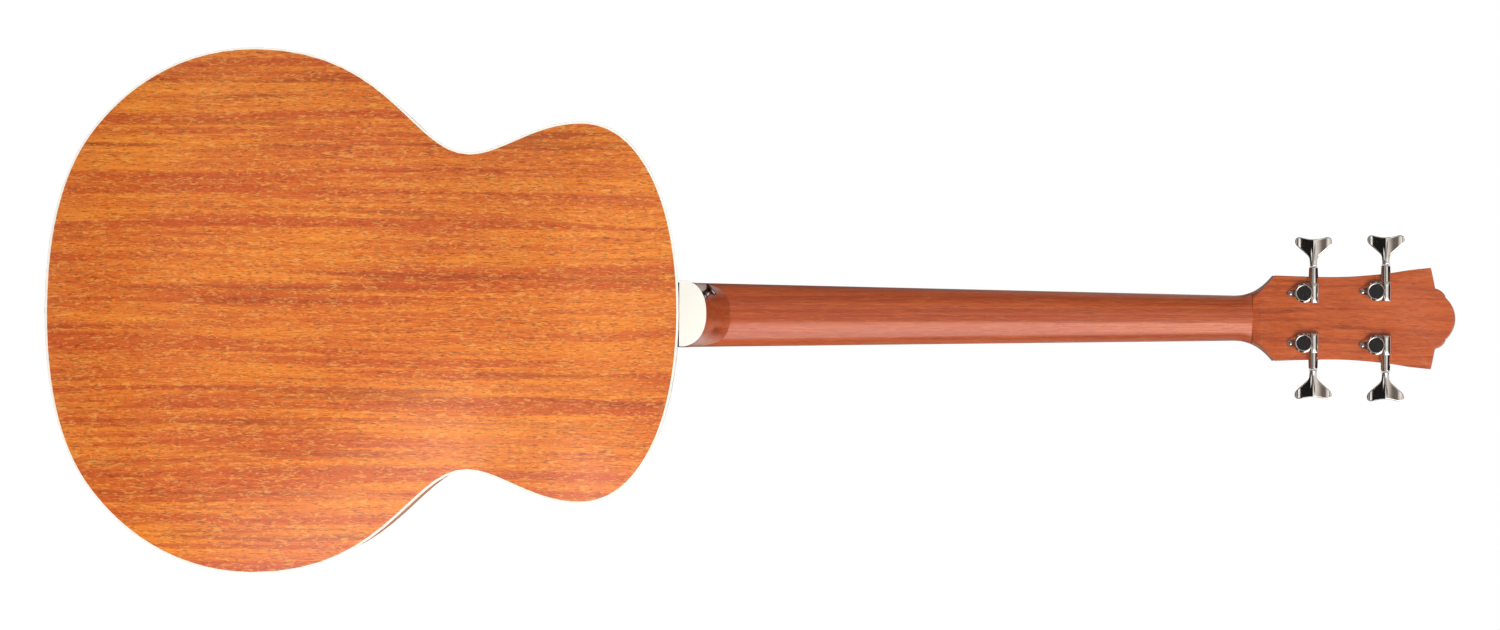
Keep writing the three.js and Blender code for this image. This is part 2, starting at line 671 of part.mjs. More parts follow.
// Tuning machines: two on each side, those on the bass side a mirror image of the treble side's
const tuners = [
  { name: 1, side: -1, across: tuner_near_offset, up: tuner_near },
  { name: 2, side: -1, across: tuner_far_offset, up: tuner_far },
  { name: 3, side: 1, across: tuner_far_offset, up: tuner_far },
  { name: 4, side: 1, across: tuner_near_offset, up: tuner_near },
];
const bushing_radius = 6;
const bushing_flange_radius = 8;
const bushing_flange = 1.6;
const bushing_length = 10;
const post_holes = tuners.map((tuner) => placed(
  rod(bushing_radius + seat_gap, -head_thickness - overrun, face_thickness + 2 * overrun, 14)
    .translate(tuner.side * tuner.across, tuner.up, 0)));

// Strap buttons: turned mushrooms, one on the tail and one on the treble side of the heel
const button_cap_radius = 6.2;
const button_base_radius = 4.6;
const button_neck_radius = 2.9;
const heel_button_height = 10.2;
const heel_button_y = 0.36 * heel_cap_y;
const heel_button_lean = THREE.MathUtils.degToRad(38);
const heel_button_angle = THREE.MathUtils.degToRad(60.5);
const heel_button_seat = 0.6;
function strapButton(height, base_radius) {
  const cap = 0.35 * button_cap_radius;
  const profile = [
    [0, 0], [0.9 * button_cap_radius, 0], [button_cap_radius, 0.35 * cap], [button_cap_radius, 0.75 * cap],
    [0.8 * button_cap_radius, cap * 1.2], [button_neck_radius * 1.15, cap * 1.8],
    [button_neck_radius, 0.55 * height], [button_neck_radius * 1.15, 0.76 * height],
    [base_radius, 0.9 * height], [base_radius, height], [0, height],
  ];
  return turned(profile, 12);
}
const heel_button_place = heelPoint(heel_half, heel_reach, heel_button_angle);
const heel_button_frame = new THREE.Matrix4().makeRotationY(heel_button_lean + Math.PI)
  .setPosition(heel_button_place.x - heel_button_seat * Math.sin(heel_button_lean), heel_button_y,
    heel_button_place.y - heel_button_seat * Math.cos(heel_button_lean));
const button_seat = rod(button_base_radius * 0.8 + seat_gap, -overrun * 4, 0, 12)
  .applyMatrix4(heel_button_frame);

const head_blade = placed(blade(headOutline(shoulder_along - overrun), -head_thickness, 0));
const neck_blank = joined(loft(neck_stations.map(neckSection)), head_blade, loft(heel_sections), tenon);
add('neck', cut(neck_blank, truss_channel, truss_pocket, button_seat, ...post_holes), neck_wood);
const heel_cap_outline = heelOutline(heel_half, heel_reach);
add('heel_cap', plate(heel_cap_outline, heel_cap_y - heel_cap_thickness, heel_cap_thickness), ivory);

const face_start = -0.5;
const face_outline = [flat(nut_width / 2, face_start), ...headOutline(shoulder_along).slice(1, -1),
  flat(-nut_width / 2, face_start)];
add('headstock_face', cut(placed(blade(face_outline, seat_gap, seat_gap + face_thickness)), truss_pocket,
  ...post_holes), rosewood);
add('truss_rod', rod(truss_radius, truss_start_z, truss_nut_z - seat_gap, 10).translate(0, truss_y, 0), steel);
const truss_nut = new THREE.CylinderGeometry(truss_nut_radius, truss_nut_radius, truss_nut_length, 6)
  .rotateX(Math.PI / 2).translate(0, truss_y, truss_nut_z + truss_nut_length / 2);
add('truss_rod_nut', truss_nut, brass);
const cover_outline_shares = [[1, 0], [1, 0.3], [0.8, 0.55], [0.62, 0.72], [0.52, 0.88], [0.3, 1], [-0.3, 1],
  [-0.52, 0.88], [-0.62, 0.72], [-0.8, 0.55], [-1, 0.3], [-1, 0]];
const cover_half = 13;
const cover_length = 42;
const cover_thickness = 1.8;
const cover_z = face_thickness + 2 * seat_gap;
add('truss_rod_cover', placed(blade(cover_outline_shares.map(([x, y]) =>
  flat(x * cover_half, face_start + y * cover_length)), cover_z, cover_z + cover_thickness)), black_plastic);

// Fingerboard with its frets, arched across to one radius
function boardSection(z, width, top_y, bottom_y) {
  const steps = 3;
  const half = width / 2;
  const arc = [...Array(steps + 1).keys()].map((step) => {
    const x = half - (step / steps) * width;
    return vec(x, top_y + board_radius - Math.sqrt(board_radius ** 2 - x ** 2), z);
  });
  return [vec(half, bottom_y, z), ...arc, vec(-half, bottom_y, z)];
}
const fret_end_gap = 0.8;
const fret_tang = 1.5;
const frets = [...Array(fret_count).keys()].map((fret) => {
  const z = nut_z - fret_distance(fret + 1);
  const width = width_at(z) - fret_end_gap;
  return loft([-fret_width / 2, fret_width / 2].map((shift) =>
    boardSection(z + shift, width, board_top_y - fret_height, board_top_y + fret_height + fret_tang)));
});
const board_blank = loft([boardSection(board_end_z, width_at(board_end_z), board_top_y, board_y),
  boardSection(nut_z - seat_gap, width_at(nut_z), board_top_y, board_y)]);
add('fingerboard', joined(board_blank, ...frets), rosewood);

// Nut, with a slot for each string
const nut_thickness = 4.7;
const nut_slot_depth = 1;
const nut_top_y = board_top_y - nut_rise - nut_slot_depth;
const string_nut_y = (i) => board_top_y - nut_rise - string_radius(i);
const nut_slots = string_diameters.map((diameter, i) =>
  rod(diameter / 2 + seat_gap, nut_z - overrun, nut_z + nut_thickness + overrun, 12)
    .translate(string_x(string_spacing_nut, i), string_nut_y(i), 0));
add('nut', cut(box(-nut_width / 2, nut_width / 2, nut_top_y, board_y, nut_z, nut_z + nut_thickness),
  ...nut_slots), bone);

// Strap buttons in their places
add('strap_button_tail', strapButton(strap_button_height, button_base_radius), nickel);
add('strap_button_heel', strapButton(heel_button_height, button_base_radius * 0.8)
  .translate(0, 0, -heel_button_height - seat_gap).applyMatrix4(heel_button_frame), nickel);

// Worm and wheel: one thread on the key's shaft turns a wheel of twenty teeth on the post.
// Each machine is drawn with X along the key, Y towards the tip and Z to the front of the headstock.
const wheel_pitch_radius = (gear_module * wheel_teeth) / 2;
const gear_centres = wheel_pitch_radius + worm_pitch_radius;
const worm_lead = Math.PI * gear_module;
const wheel_tip_radius = wheel_pitch_radius + mesh_depth / 2;
const worm_tip_radius = worm_pitch_radius + mesh_depth / 2;
const gear_root_gap = 0.4;
const wheel_root_radius = gear_centres - worm_tip_radius - gear_root_gap;
const worm_core_radius = gear_centres - wheel_tip_radius - gear_root_gap;
const tooth_root_half = 0.24 * worm_lead;
const thread_root_half = 0.19 * worm_lead;
const wheel_thickness = 2.4;
const gear_level = -5.5;
const worm_turns = 2.5;
const worm_steps = 10;

function wheelOutline() {
  return [...Array(wheel_teeth).keys()].flatMap((tooth) => {
    const middle = Math.PI / 2 + ((tooth + 0.5) * 2 * Math.PI) / wheel_teeth;
    const corners = [
      [wheel_root_radius, -tooth_root_half], [wheel_tip_radius, 0], [wheel_root_radius, tooth_root_half],
    ];
    return corners.map(([radius, half]) => {
      const angle = middle + half / wheel_pitch_radius;
      return flat(radius * Math.cos(angle), radius * Math.sin(angle));
    });
  });
}

function wormThread() {
  const sections = [];
  const steps = worm_turns * worm_steps;
  for (let step = 0; step <= steps; step += 1) {
    const turn = step / worm_steps - worm_turns / 2;
    const angle = Math.PI + 2 * Math.PI * turn;
    const x = worm_lead * turn;
    const corners = [
      [x - thread_root_half, 0.8 * worm_core_radius], [x, worm_tip_radius],
      [x + thread_root_half, 0.8 * worm_core_radius],
    ];
    sections.push(corners.map(([at, radius]) => vec(at, radius * Math.cos(angle), radius * Math.sin(angle))));
  }
  return loft(sections).translate(0, gear_centres, gear_level);
}

// A round bar along X beside the wheel, at the worm's axis
function barrel(radius0, radius1, x0, x1, sides = 12) {
  return new THREE.CylinderGeometry(radius1, radius0, x1 - x0, sides).rotateZ(-Math.PI / 2)
    .translate((x0 + x1) / 2, gear_centres, gear_level);
}

// Housing: a round chamber for the wheel, a barrel for the worm and an ear for the fixing screw
const wheel_room = 0.5;
const chamber_radius = wheel_tip_radius + wheel_room;
const housing_radius = 7.9;
const housing_floor = 2.3;
const housing_height = 9.2;
const housing_base = -seat_gap;
const cap_radius = 7.2;
const cap_seat = 7.8;
const barrel_radius = 4.4;
const barrel_end_radius = 3.5;
const barrel_inner_end = -8.1;
const barrel_end = 21.2;
const worm_room = worm_tip_radius + gear_root_gap;
const worm_half = 6;
const shaft_bore = worm_core_radius + seat_gap;
const ear_length = 14.4;
const ear_radius = 2.7;
const ear_thickness = 2.6;
const ear_screw_radius = 1.4;
const ear_screw_along = 11.6;

function housing() {
  const can = rod(housing_radius, -housing_height, housing_base, 18);
  const foot = box(barrel_inner_end, housing_radius, gear_centres - barrel_radius, gear_centres + barrel_radius,
    gear_level, housing_base);
  const ear = new THREE.ExtrudeGeometry(new THREE.Shape([
    flat(-0.78 * housing_radius, -0.45 * housing_radius), flat(-ear_radius, 0.6 * ear_radius - ear_length),
    flat(-0.4 * ear_radius, -ear_length), flat(0.7 * ear_radius, -ear_length),
    flat(1.2 * ear_radius, 0.7 * ear_radius - ear_length), flat(0.68 * housing_radius, -0.5 * housing_radius),
    flat(0, 0),
  ]), { depth: ear_thickness, bevelEnabled: false }).translate(0, 0, housing_base - ear_thickness);
  const body = joined(can, foot, ear, barrel(barrel_radius, barrel_radius, barrel_inner_end, housing_radius),
    barrel(barrel_radius, barrel_end_radius, housing_radius - overrun, barrel_end));
  return cut(body, rod(chamber_radius, -cap_seat - overrun, -housing_floor, 14),
    rod(cap_radius + seat_gap, -housing_height - 2 * overrun, -cap_seat, 18),
    rod(post_radius + 2 * seat_gap, -housing_floor - overrun, overrun, 12),
    barrel(worm_room, worm_room, -worm_half - seat_gap, worm_half, 10),
    barrel(shaft_bore, shaft_bore, worm_half - overrun, barrel_end + overrun, 8),
    rod(ear_screw_radius, -ear_thickness - 2 * overrun, overrun, 8).translate(0, -ear_screw_along, 0));
}

const capPiece = () => turned([
  [0, -cap_seat - seat_gap], [cap_radius, -cap_seat - seat_gap], [cap_radius, -housing_height - seat_gap],
  [0.93 * cap_radius, -housing_height - 2 * seat_gap], [0.85 * cap_radius, -housing_height],
  [0, -housing_height],
].reverse(), 18);

// Post: the wheel at its back end, a waist for the winding and a slotted top
const board_front = head_thickness + seat_gap + face_thickness;
const post_top = board_front + post_rise;
const bushing_front = board_front + seat_gap + bushing_flange;
const post_collar = 1.6;
const post_chamfer = 0.8;
const waist_low = bushing_front + post_collar;
const waist_high = post_top - 0.24 * post_rise;
const slot_half = 1.6;
const slot_depth = 0.27 * post_rise;
function post() {
  const wheel_low = gear_level - wheel_thickness / 2;
  const wheel_high = gear_level + wheel_thickness / 2;
  const shaft = turned([
    [0, wheel_low - seat_gap], [0.7 * wheel_root_radius, wheel_low - seat_gap],
    [0.7 * wheel_root_radius, wheel_high + seat_gap], [post_radius, wheel_high + 2 * seat_gap],
    [post_radius, waist_low - post_chamfer], [post_waist_radius, waist_low],
    [post_waist_radius, waist_high], [post_radius, waist_high + post_chamfer],
    [post_radius, post_top - post_chamfer], [0.8 * post_radius, post_top], [0, post_top],
  ], 12);
  const wheel = new THREE.ExtrudeGeometry(new THREE.Shape(wheelOutline()),
    { depth: wheel_thickness, bevelEnabled: false }).translate(0, 0, wheel_low);
  const slot = box(-slot_half, slot_half, -2 * post_radius, 2 * post_radius, post_top - slot_depth,
    post_top + overrun);
  return cut(joined(shaft, wheel), slot);
}

const bushing = () => turned([
  [post_radius + seat_gap, board_front - bushing_length], [bushing_radius, board_front - bushing_length],
  [bushing_radius, board_front + seat_gap], [bushing_flange_radius, board_front + seat_gap],
  [bushing_flange_radius, bushing_front],
  [post_radius + seat_gap, bushing_front], [post_radius + seat_gap, board_front - bushing_length],
], 12);

// Key: a two-lobed thumb piece, its shaft and the worm
const washer_thickness = 0.9;
const washer_radius = 3.4;
const key_start = barrel_end + washer_thickness + 2 * seat_gap;
const key_length = 23.6;
const key_half = 15.1;
const key_thickness = 5;
const key_boss_radius = 2.8;
const key_shares = [
  [0, 0.17], [0.2, 0.19], [0.32, 0.27], [0.42, 0.42], [0.54, 0.63], [0.66, 0.85], [0.75, 0.97], [0.83, 1],
  [0.93, 0.95], [0.99, 0.82], [1, 0.72], [0.95, 0.45], [0.905, 0.2],
];
function key() {
  const half = key_shares.map(([x, y]) => flat(key_start + x * key_length, gear_centres + y * key_half));
  const other = key_shares.map(([x, y]) => flat(key_start + x * key_length, gear_centres - y * key_half));
  const thumb = new THREE.ExtrudeGeometry(new THREE.Shape([...half, ...other.reverse()]),
    { depth: key_thickness, bevelEnabled: false }).translate(0, 0, gear_level - key_thickness / 2);
  const boss = barrel(key_boss_radius, 0.8 * key_boss_radius, key_start, key_start + 0.35 * key_length, 10);
  const shaft = barrel(worm_core_radius, worm_core_radius, -worm_half + seat_gap, key_start + overrun, 8);
  return joined(thumb, boss, shaft, wormThread());
}
const washer = () => {
  const x0 = barrel_end + seat_gap;
  const ring = barrel(washer_radius, washer_radius, x0, x0 + washer_thickness, 12);
  const bore = barrel(shaft_bore, shaft_bore, x0 - overrun, x0 + washer_thickness + overrun, 8);
  return cut(ring, bore);
};

const head = new THREE.Group();
head.position.set(0, front_y, head_z);
head.rotation.x = Math.PI / 2 - head_tilt;
root.add(head);
const machine_pieces = [
  ['tuner_housing', housing(), nickel], ['tuner_cap', capPiece(), nickel], ['tuner_key', key(), nickel],
  ['tuner_post', post(), nickel], ['tuner_bushing', bushing(), nickel], ['tuner_washer', washer(), nylon],
];
tuners.forEach((tuner) => {
  const machine = new THREE.Group();
  machine.position.set(tuner.side * tuner.across, tuner.up, -head_thickness);
  head.add(machine);
  machine_pieces.forEach(([name, geometry, material]) =>
    add(`${name}_${tuner.name}`, tuner.side > 0 ? geometry : mirrored(geometry), material, machine));
});

// Strings: from the ball end under the bridge, over saddle and nut, to the winding on the post
const ball_radius = 2.6;
const ball_length = 5;
const string_bend = 3;
const string_bend_shares = [[0.17, 0], [0.63, 0.27], [1, 0.93]];
const to_head = head_frame.clone().invert();

function stringRoute(i) {
  const tuner = tuners[i];
  const radius = string_radius(i);
  const x = string_x(string_spacing_saddle, i);
  const z = string_slot_z(i);
  const ball_y = bridge_plate_y + bridge_plate_thickness + seat_gap;
  const top = bridge_front_y;
  const route = [
    vec(x, ball_y + ball_length / 2, z), vec(x, ball_y - overrun, z),
    ...string_bend_shares.map(([rise, run]) => vec(x, top - rise * string_bend, z + run * string_bend)),
    vec(x, saddle_top_y - seat_gap - radius, saddle_z - saddle_thickness / 2),
    vec(x, saddle_top_y - seat_gap - radius, saddle_z + saddle_thickness / 2),
    vec(string_x(string_spacing_nut, i), string_nut_y(i), nut_z),
    vec(string_x(string_spacing_nut, i), string_nut_y(i), nut_z + nut_thickness),
  ];
  const start = route[route.length - 1].clone().applyMatrix4(to_head);
  const coil_radius = post_waist_radius + seat_gap + radius;
  const from = flat(tuner.side * start.x, start.y);
  const reach = flat(tuner.across, tuner.up).sub(from);
  const heading = reach.angle() + Math.asin(coil_radius / reach.length());
  const low = waist_low - head_thickness + radius + seat_gap;
  const pitch = 2 * radius + winding_gap;
  const steps = winding_turns * winding_steps;
  const coil = [...Array(steps + 1).keys()].map((step) => {
    const turned_by = (2 * Math.PI * step) / winding_steps;
    const angle = heading + Math.PI / 2 - turned_by;
    return vec(tuner.side * (tuner.across + coil_radius * Math.cos(angle)),
      tuner.up + coil_radius * Math.sin(angle), low + (pitch * step) / winding_steps);
  });
  const points = [...route, ...coil.map((point) => point.applyMatrix4(head_frame))];
  return { points, coil_start: route.length };
}

// A tube along points, its section carried along without twisting
function tube(points, radius, sides) {
  let across = vec(1, 0, 0);
  const sections = points.map((point, i) => {
    const before = points[Math.max(i - 1, 0)];
    const after = points[Math.min(i + 1, points.length - 1)];
    const heading = after.clone().sub(before).normalize();
    across = across.clone().sub(heading.clone().multiplyScalar(across.dot(heading))).normalize();
    const up = heading.clone().cross(across);
    return [...Array(sides).keys()].map((side) => {
      const angle = (2 * Math.PI * side) / sides;
      return point.clone().addScaledVector(across, radius * Math.cos(angle))
        .addScaledVector(up, radius * Math.sin(angle));
    });
  });
  return loft(sections);
}

// Least gap between one turn of a winding and the next
function leastGap(points, start, radius) {
  let least = Infinity;
  for (let i = start; i < points.length; i += 1) {
    for (let j = i + winding_steps / 2; j < points.length; j += 1) {
      least = Math.min(least, points[i].distanceTo(points[j]) - 2 * radius);
    }
  }
  return least;
}

string_diameters.forEach((diameter, i) => {
  const { points, coil_start } = stringRoute(i);
  const radius = diameter / 2;
  const ball_place = points[0];
  const ball = new THREE.CylinderGeometry(ball_radius, ball_radius, ball_length, 10)
    .translate(ball_place.x, ball_place.y + radius, ball_place.z);
  add(`string_${i + 1}`, joined(tube(points, radius, string_sides), ball), i < 3 ? bronze : steel);
  console.log(`string_${i + 1}: least gap in its winding ${leastGap(points, coil_start, radius).toFixed(2)} mm`);
});

export default root;
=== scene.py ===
"""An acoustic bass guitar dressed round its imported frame: metres, +Z up the neck, +X the treble side, and the
arched back facing +Y. The sections follow the instrument as it is put together."""
import json
import math
from contextlib import contextmanager

import bpy
from mathutils import Matrix, Vector

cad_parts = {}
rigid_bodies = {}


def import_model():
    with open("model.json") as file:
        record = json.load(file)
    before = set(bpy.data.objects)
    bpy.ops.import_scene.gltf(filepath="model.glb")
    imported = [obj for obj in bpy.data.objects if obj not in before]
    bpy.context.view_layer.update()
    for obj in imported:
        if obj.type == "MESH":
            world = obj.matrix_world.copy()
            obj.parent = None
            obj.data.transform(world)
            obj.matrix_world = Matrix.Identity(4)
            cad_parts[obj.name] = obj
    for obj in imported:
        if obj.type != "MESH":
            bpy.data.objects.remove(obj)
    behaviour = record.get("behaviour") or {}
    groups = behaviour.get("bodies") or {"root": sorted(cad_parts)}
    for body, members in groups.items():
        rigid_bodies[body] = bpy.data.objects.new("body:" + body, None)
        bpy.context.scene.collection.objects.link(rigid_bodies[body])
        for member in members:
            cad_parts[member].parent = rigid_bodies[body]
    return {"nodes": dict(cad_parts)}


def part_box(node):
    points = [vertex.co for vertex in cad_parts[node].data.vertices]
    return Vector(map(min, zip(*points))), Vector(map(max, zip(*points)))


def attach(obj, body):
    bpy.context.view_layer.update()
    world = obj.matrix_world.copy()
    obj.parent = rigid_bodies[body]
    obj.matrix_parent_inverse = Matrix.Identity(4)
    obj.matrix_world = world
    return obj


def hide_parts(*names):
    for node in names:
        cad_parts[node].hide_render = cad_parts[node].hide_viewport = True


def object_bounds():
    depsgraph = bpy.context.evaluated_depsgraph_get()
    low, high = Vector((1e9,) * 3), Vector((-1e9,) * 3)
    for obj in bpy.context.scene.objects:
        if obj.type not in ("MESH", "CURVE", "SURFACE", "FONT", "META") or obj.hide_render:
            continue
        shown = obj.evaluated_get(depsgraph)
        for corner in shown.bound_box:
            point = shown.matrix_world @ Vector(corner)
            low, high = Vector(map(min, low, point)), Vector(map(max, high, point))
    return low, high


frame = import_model()
cad_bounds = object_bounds()

# The view: the camera stands 3 m behind the back, a little to the bass side, and lies on its side so that the
# neck runs to the right of the picture and very slightly down. Its lens is shifted towards the head.
picture_width = 1500
lens_in_pixels = 3654
sensor = 36
camera_distance = 2.952
camera_swing = math.radians(0.8)
camera_roll = math.radians(0.35)
camera_shift = 0.05
aim_aside, aim_back, aim_rise = -0.0013, 0.048, 0.5686
camera_aim = Vector((aim_aside, aim_back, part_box("binding_back")[0].z + aim_rise))
camera_away = Vector((-math.sin(camera_swing), math.cos(camera_swing), 0))
level_top = Vector((math.cos(camera_swing), math.sin(camera_swing), 0))
up_neck = Vector((0, 0, 1))
camera_right = math.cos(camera_roll) * up_neck + math.sin(camera_roll) * level_top
camera_top = math.cos(camera_roll) * level_top - math.sin(camera_roll) * up_neck
bpy.ops.object.camera_add(location=camera_aim + camera_distance * camera_away - camera_shift * camera_right)
camera = bpy.context.object
camera.rotation_euler = Matrix((camera_right, camera_top, camera_away)).transposed().to_euler()
camera.data.sensor_width = sensor
camera.data.lens = lens_in_pixels * sensor / picture_width
camera.data.shift_x = camera_shift / camera_distance * camera.data.lens / sensor
bpy.context.scene.camera = camera
bpy.context.scene.view_settings.view_transform = "Standard"


def tone(red, green, blue):
    """A colour as it looks, from 0 to 255, in the linear values that a shader takes"""
    shares = [value / 255 for value in (red, green, blue)]
    return (*(((s + 0.055) / 1.055) ** 2.4 if s > 0.04 else s / 12.92 for s in shares), 1.0)


def fed(tree, node, sockets):
    """A node with its sockets set to values or linked from other nodes"""
    for name, value in sockets.items():
        if isinstance(value, bpy.types.NodeSocket):
            tree.links.new(value, node.inputs[name])
        else:
            node.inputs[name].default_value = value
    return node


def put(tree, kind, sockets=None, **settings):
    """A new node with its settings and its sockets"""
    made = tree.nodes.new("ShaderNode" + kind)
    for name, value in settings.items():
        setattr(made, name, value)
    return fed(tree, made, sockets or {})


def blended(tree, share, first, second):
    """A colour between two, by a share"""
    return put(tree, "Mix", {0: share, 6: first, 7: second}, data_type="RGBA").outputs[2]


def times(tree, first, second):
    """One value times another"""
    return put(tree, "Math", {0: first, 1: second}, operation="MULTIPLY").outputs[0]


def added(tree, value, share, base):
    """A share of one value on top of another"""
    return put(tree, "Math", {0: value, 1: share, 2: base}, operation="MULTIPLY_ADD").outputs[0]


def mapped(tree, value, low, high, start=0.0, end=1.0):
    """A value carried over from one range to another"""
    return put(tree, "MapRange", {"Value": value, "From Min": start, "From Max": end, "To Min": low,
                                  "To Max": high}).outputs[0]


# The room: a plain pale floor under the tail, two soft boxes on the back's side and one on the front's.
# Lacquer and polished metal don't mirror the boxes: they mirror white, cream, grey, brown and black cards in
# the surround.
floor_size = 40
floor_drop = 0.0004
floor_glow = 1.0
floor_shade = 0.5
surround_level = 0.34
beside_level, beside_fade = 2.2, (-0.18, -0.1)
front_level, front_fade = 0.6, (-0.1, 0.1)
soft_boxes = (
    ("key", (-1.7, 4.6, 1.2), 1.7, 174),
    ("fill", (2.3, 1.7, 0.3), 1.0, 3),
    ("front", (-1.2, -2.4, 1.5), 1.5, 42),
)
lit_middle = Vector((0, 0, 0.45))

bpy.ops.mesh.primitive_plane_add(size=floor_size, location=(0, 0, cad_bounds[0].z - floor_drop))
floor = bpy.context.object
floor.name = "floor"
floor_finish = bpy.data.materials.new("pale_floor")
floor_finish.use_nodes = True
tree = floor_finish.node_tree
tree.nodes.clear()
floor_coat = put(tree, "BsdfDiffuse", {"Color": (floor_shade, floor_shade, floor_shade, 1)}).outputs[0]
glow = put(tree, "Emission", {"Color": (1, 1, 1, 1), "Strength": floor_glow}).outputs[0]
seen = put(tree, "LightPath").outputs
both = put(tree, "AddShader", {0: floor_coat, 1: glow}).outputs[0]
mixed = put(tree, "MixShader", {0: seen["Is Camera Ray"], 1: floor_coat, 2: both}).outputs[0]
clear = put(tree, "BsdfTransparent").outputs[0]
open_below = put(tree, "MixShader", {0: seen["Is Glossy Ray"], 1: mixed, 2: clear}).outputs[0]
put(tree, "OutputMaterial", {"Surface": open_below})
floor.data.materials.append(floor_finish)

for label, place, size, power in soft_boxes:
    bpy.ops.object.light_add(type="AREA", location=place)
    lamp = bpy.context.object
    lamp.name = label
    lamp.data.size = size
    lamp.data.energy = power
    lamp.visible_glossy = False
    lamp.rotation_euler = (lit_middle - Vector(place)).to_track_quat("-Z", "Y").to_euler()

world = bpy.data.worlds.new("surround")
bpy.context.scene.world = world
world.use_nodes = True
tree = world.node_tree
tree.nodes.clear()
way = put(tree, "SeparateXYZ", {"Vector": put(tree, "TexCoord").outputs["Generated"]}).outputs


def cards_along(axis, stops):
    """Cards of the surround along one axis: each place from 0 to 1, with its colour and its cover"""
    made = put(tree, "ValToRGB", {"Fac": mapped(tree, way[axis], 0.0, 1.0, -1.0, 1.0)})
    for place, *_ in stops[1:-1]:
        made.color_ramp.elements.new(place)
    for stop, (place, colour, cover) in zip(made.color_ramp.elements, stops):
        stop.position = place
        stop.color = (*colour, cover)
    return made.outputs


black, brown, grey = (0.015, 0.014, 0.014), (0.17, 0.075, 0.045), (0.16, 0.14, 0.12)
cream, white_card = (0.72, 0.64, 0.58), (1.1, 1.08, 1.05)
neck_cards = cards_along("Z", [(place, colour, 1) for place, colour in (
    (0.0, black), (0.03, brown), (0.08, brown), (0.1, black), (0.16, black), (0.175, white_card),
    (0.21, white_card), (0.222, black), (0.37, black), (0.382, white_card), (0.4, white_card), (0.406, black),
    (0.412, black), (0.422, white_card), (0.45, cream), (0.47, grey), (0.51, grey), (0.54, cream),
    (0.62, white_card), (0.8, cream), (0.86, black), (1.0, black))])
side_cards = cards_along("X", (
    (0.0, black, 1), (0.03, black, 1), (0.06, white_card, 1), (0.31, white_card, 1), (0.4, white_card, 0),
    (0.6, grey, 0), (0.65, grey, 1), (0.74, grey, 1), (0.8, black, 1), (1.0, black, 1)))
behind = put(tree, "Math", {0: way["Y"], 1: 0.0}, operation="GREATER_THAN").outputs[0]
beside = times(tree, times(tree, side_cards["Alpha"], behind), mapped(tree, way["Z"], 0.0, 1.0, *beside_fade))
card_colour = blended(tree, beside, neck_cards["Color"], side_cards["Color"])
dimmer = mapped(tree, way["Y"], front_level, 1.0, *front_fade)
strength = times(tree, added(tree, beside, beside_level, 1.0), dimmer)
cards = put(tree, "Background", {"Color": card_colour, "Strength": strength}).outputs[0]
plain = put(tree, "Background", {"Color": (1, 1, 1, 1), "Strength": surround_level}).outputs[0]
white = put(tree, "Background", {"Color": (1, 1, 1, 1), "Strength": 1.0}).outputs[0]
seen = put(tree, "LightPath").outputs
clear_rays = put(tree, "Math", {0: seen["Is Camera Ray"], 1: seen["Is Transmission Ray"]}, operation="MAXIMUM")
glossy = put(tree, "MixShader", {0: seen["Is Glossy Ray"], 1: plain, 2: cards}).outputs[0]
shown = put(tree, "MixShader", {0: clear_rays.outputs[0], 1: glossy, 2: white}).outputs[0]
put(tree, "OutputWorld", {"Surface": shown})


# The back: a mahogany plate 3.5 mm thick, pressed to a shallow arch and glued to the linings of the sides. Its
# satin lacquer shows the ribbon figure, the short dark pores and the paler curled flecks of the wood.
plate_gap = 0.00005
binding_width = 0.002
back_thickness = 0.0035
back_crown = 0.0162
arch_reach = 0.125
arch_smoothing = 40
back_rings, ring_crowding = 44, 1.15
back_middle_share = 0.46
body_low, body_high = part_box("binding_back")
front_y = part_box("binding_front")[0].y
tail_z, neck_end_z = body_low.z, body_high.z
body_length = neck_end_z - tail_z
lower_half = body_high.x
waist_half, upper_half = 0.1292, 0.155
tail_rim_y, heel_rim_y = body_high.y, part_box("heel_cap")[1].y
outline_shares = (
    (lower_half, (0, 0), (0, 0.373), (0.036, 0.574), (0.074, 0.69)),
    (lower_half, (0.074, 0.69), (0.108, 0.797), (0.19, 1), (0.33, 1)),
    (lower_half, (0.33, 1), (0.542, 1), (0.58, waist_half / lower_half), (0.666, waist_half / lower_half)),
    (upper_half, (0.666, waist_half / upper_half), (0.716, waist_half / upper_half), (0.768, 1), (0.843, 1)),
    (upper_half, (0.843, 1), (0.894, 1), (0.924, 0.896), (0.944, 0.797)),
    (upper_half, (0.944, 0.797), (0.97, 0.672), (1, 0.42), (1, 0)),
)
outline_steps = 15
weld = 1e-7


def bend(controls, share):
    """The point on a cubic curve, and its heading, at a share of the way along it"""
    a, b, c, d = controls
    rest = 1 - share
    point = a * rest**3 + 3 * b * rest**2 * share + 3 * c * rest * share**2 + d * share**3
    heading = 3 * ((b - a) * rest**2 + 2 * (c - b) * rest * share + (d - c) * share**2)
    return point, heading.normalized()


def half_outline(inset):
    """The body's outline on the treble side as points of X and Z, from tail to neck, moved in by an inset"""
    points = []
    for number, (half, *shares) in enumerate(outline_shares):
        controls = [Vector((width * half, tail_z + along * body_length)) for along, width in shares]
        for step in range(1 if number else 0, outline_steps + 1):
            point, heading = bend(controls, step / outline_steps)
            points.append(point + inset * Vector((-heading.y, heading.x)))
    points[0].x = points[-1].x = 0
    return points


def mirrored(points):
    """The same points on the bass side, in reverse"""
    return [Vector((-point.x, point.y)) for point in reversed(points)]


def outline(inset):
    """The whole outline, up the treble side and down the bass side"""
    half = half_outline(inset)
    return half + mirrored(half[1:-1])


def rim_y(z):
    """Height of the rim of the back, which falls from the tail to the heel"""
    return tail_rim_y + (heel_rim_y - tail_rim_y) * (z - tail_z) / body_length


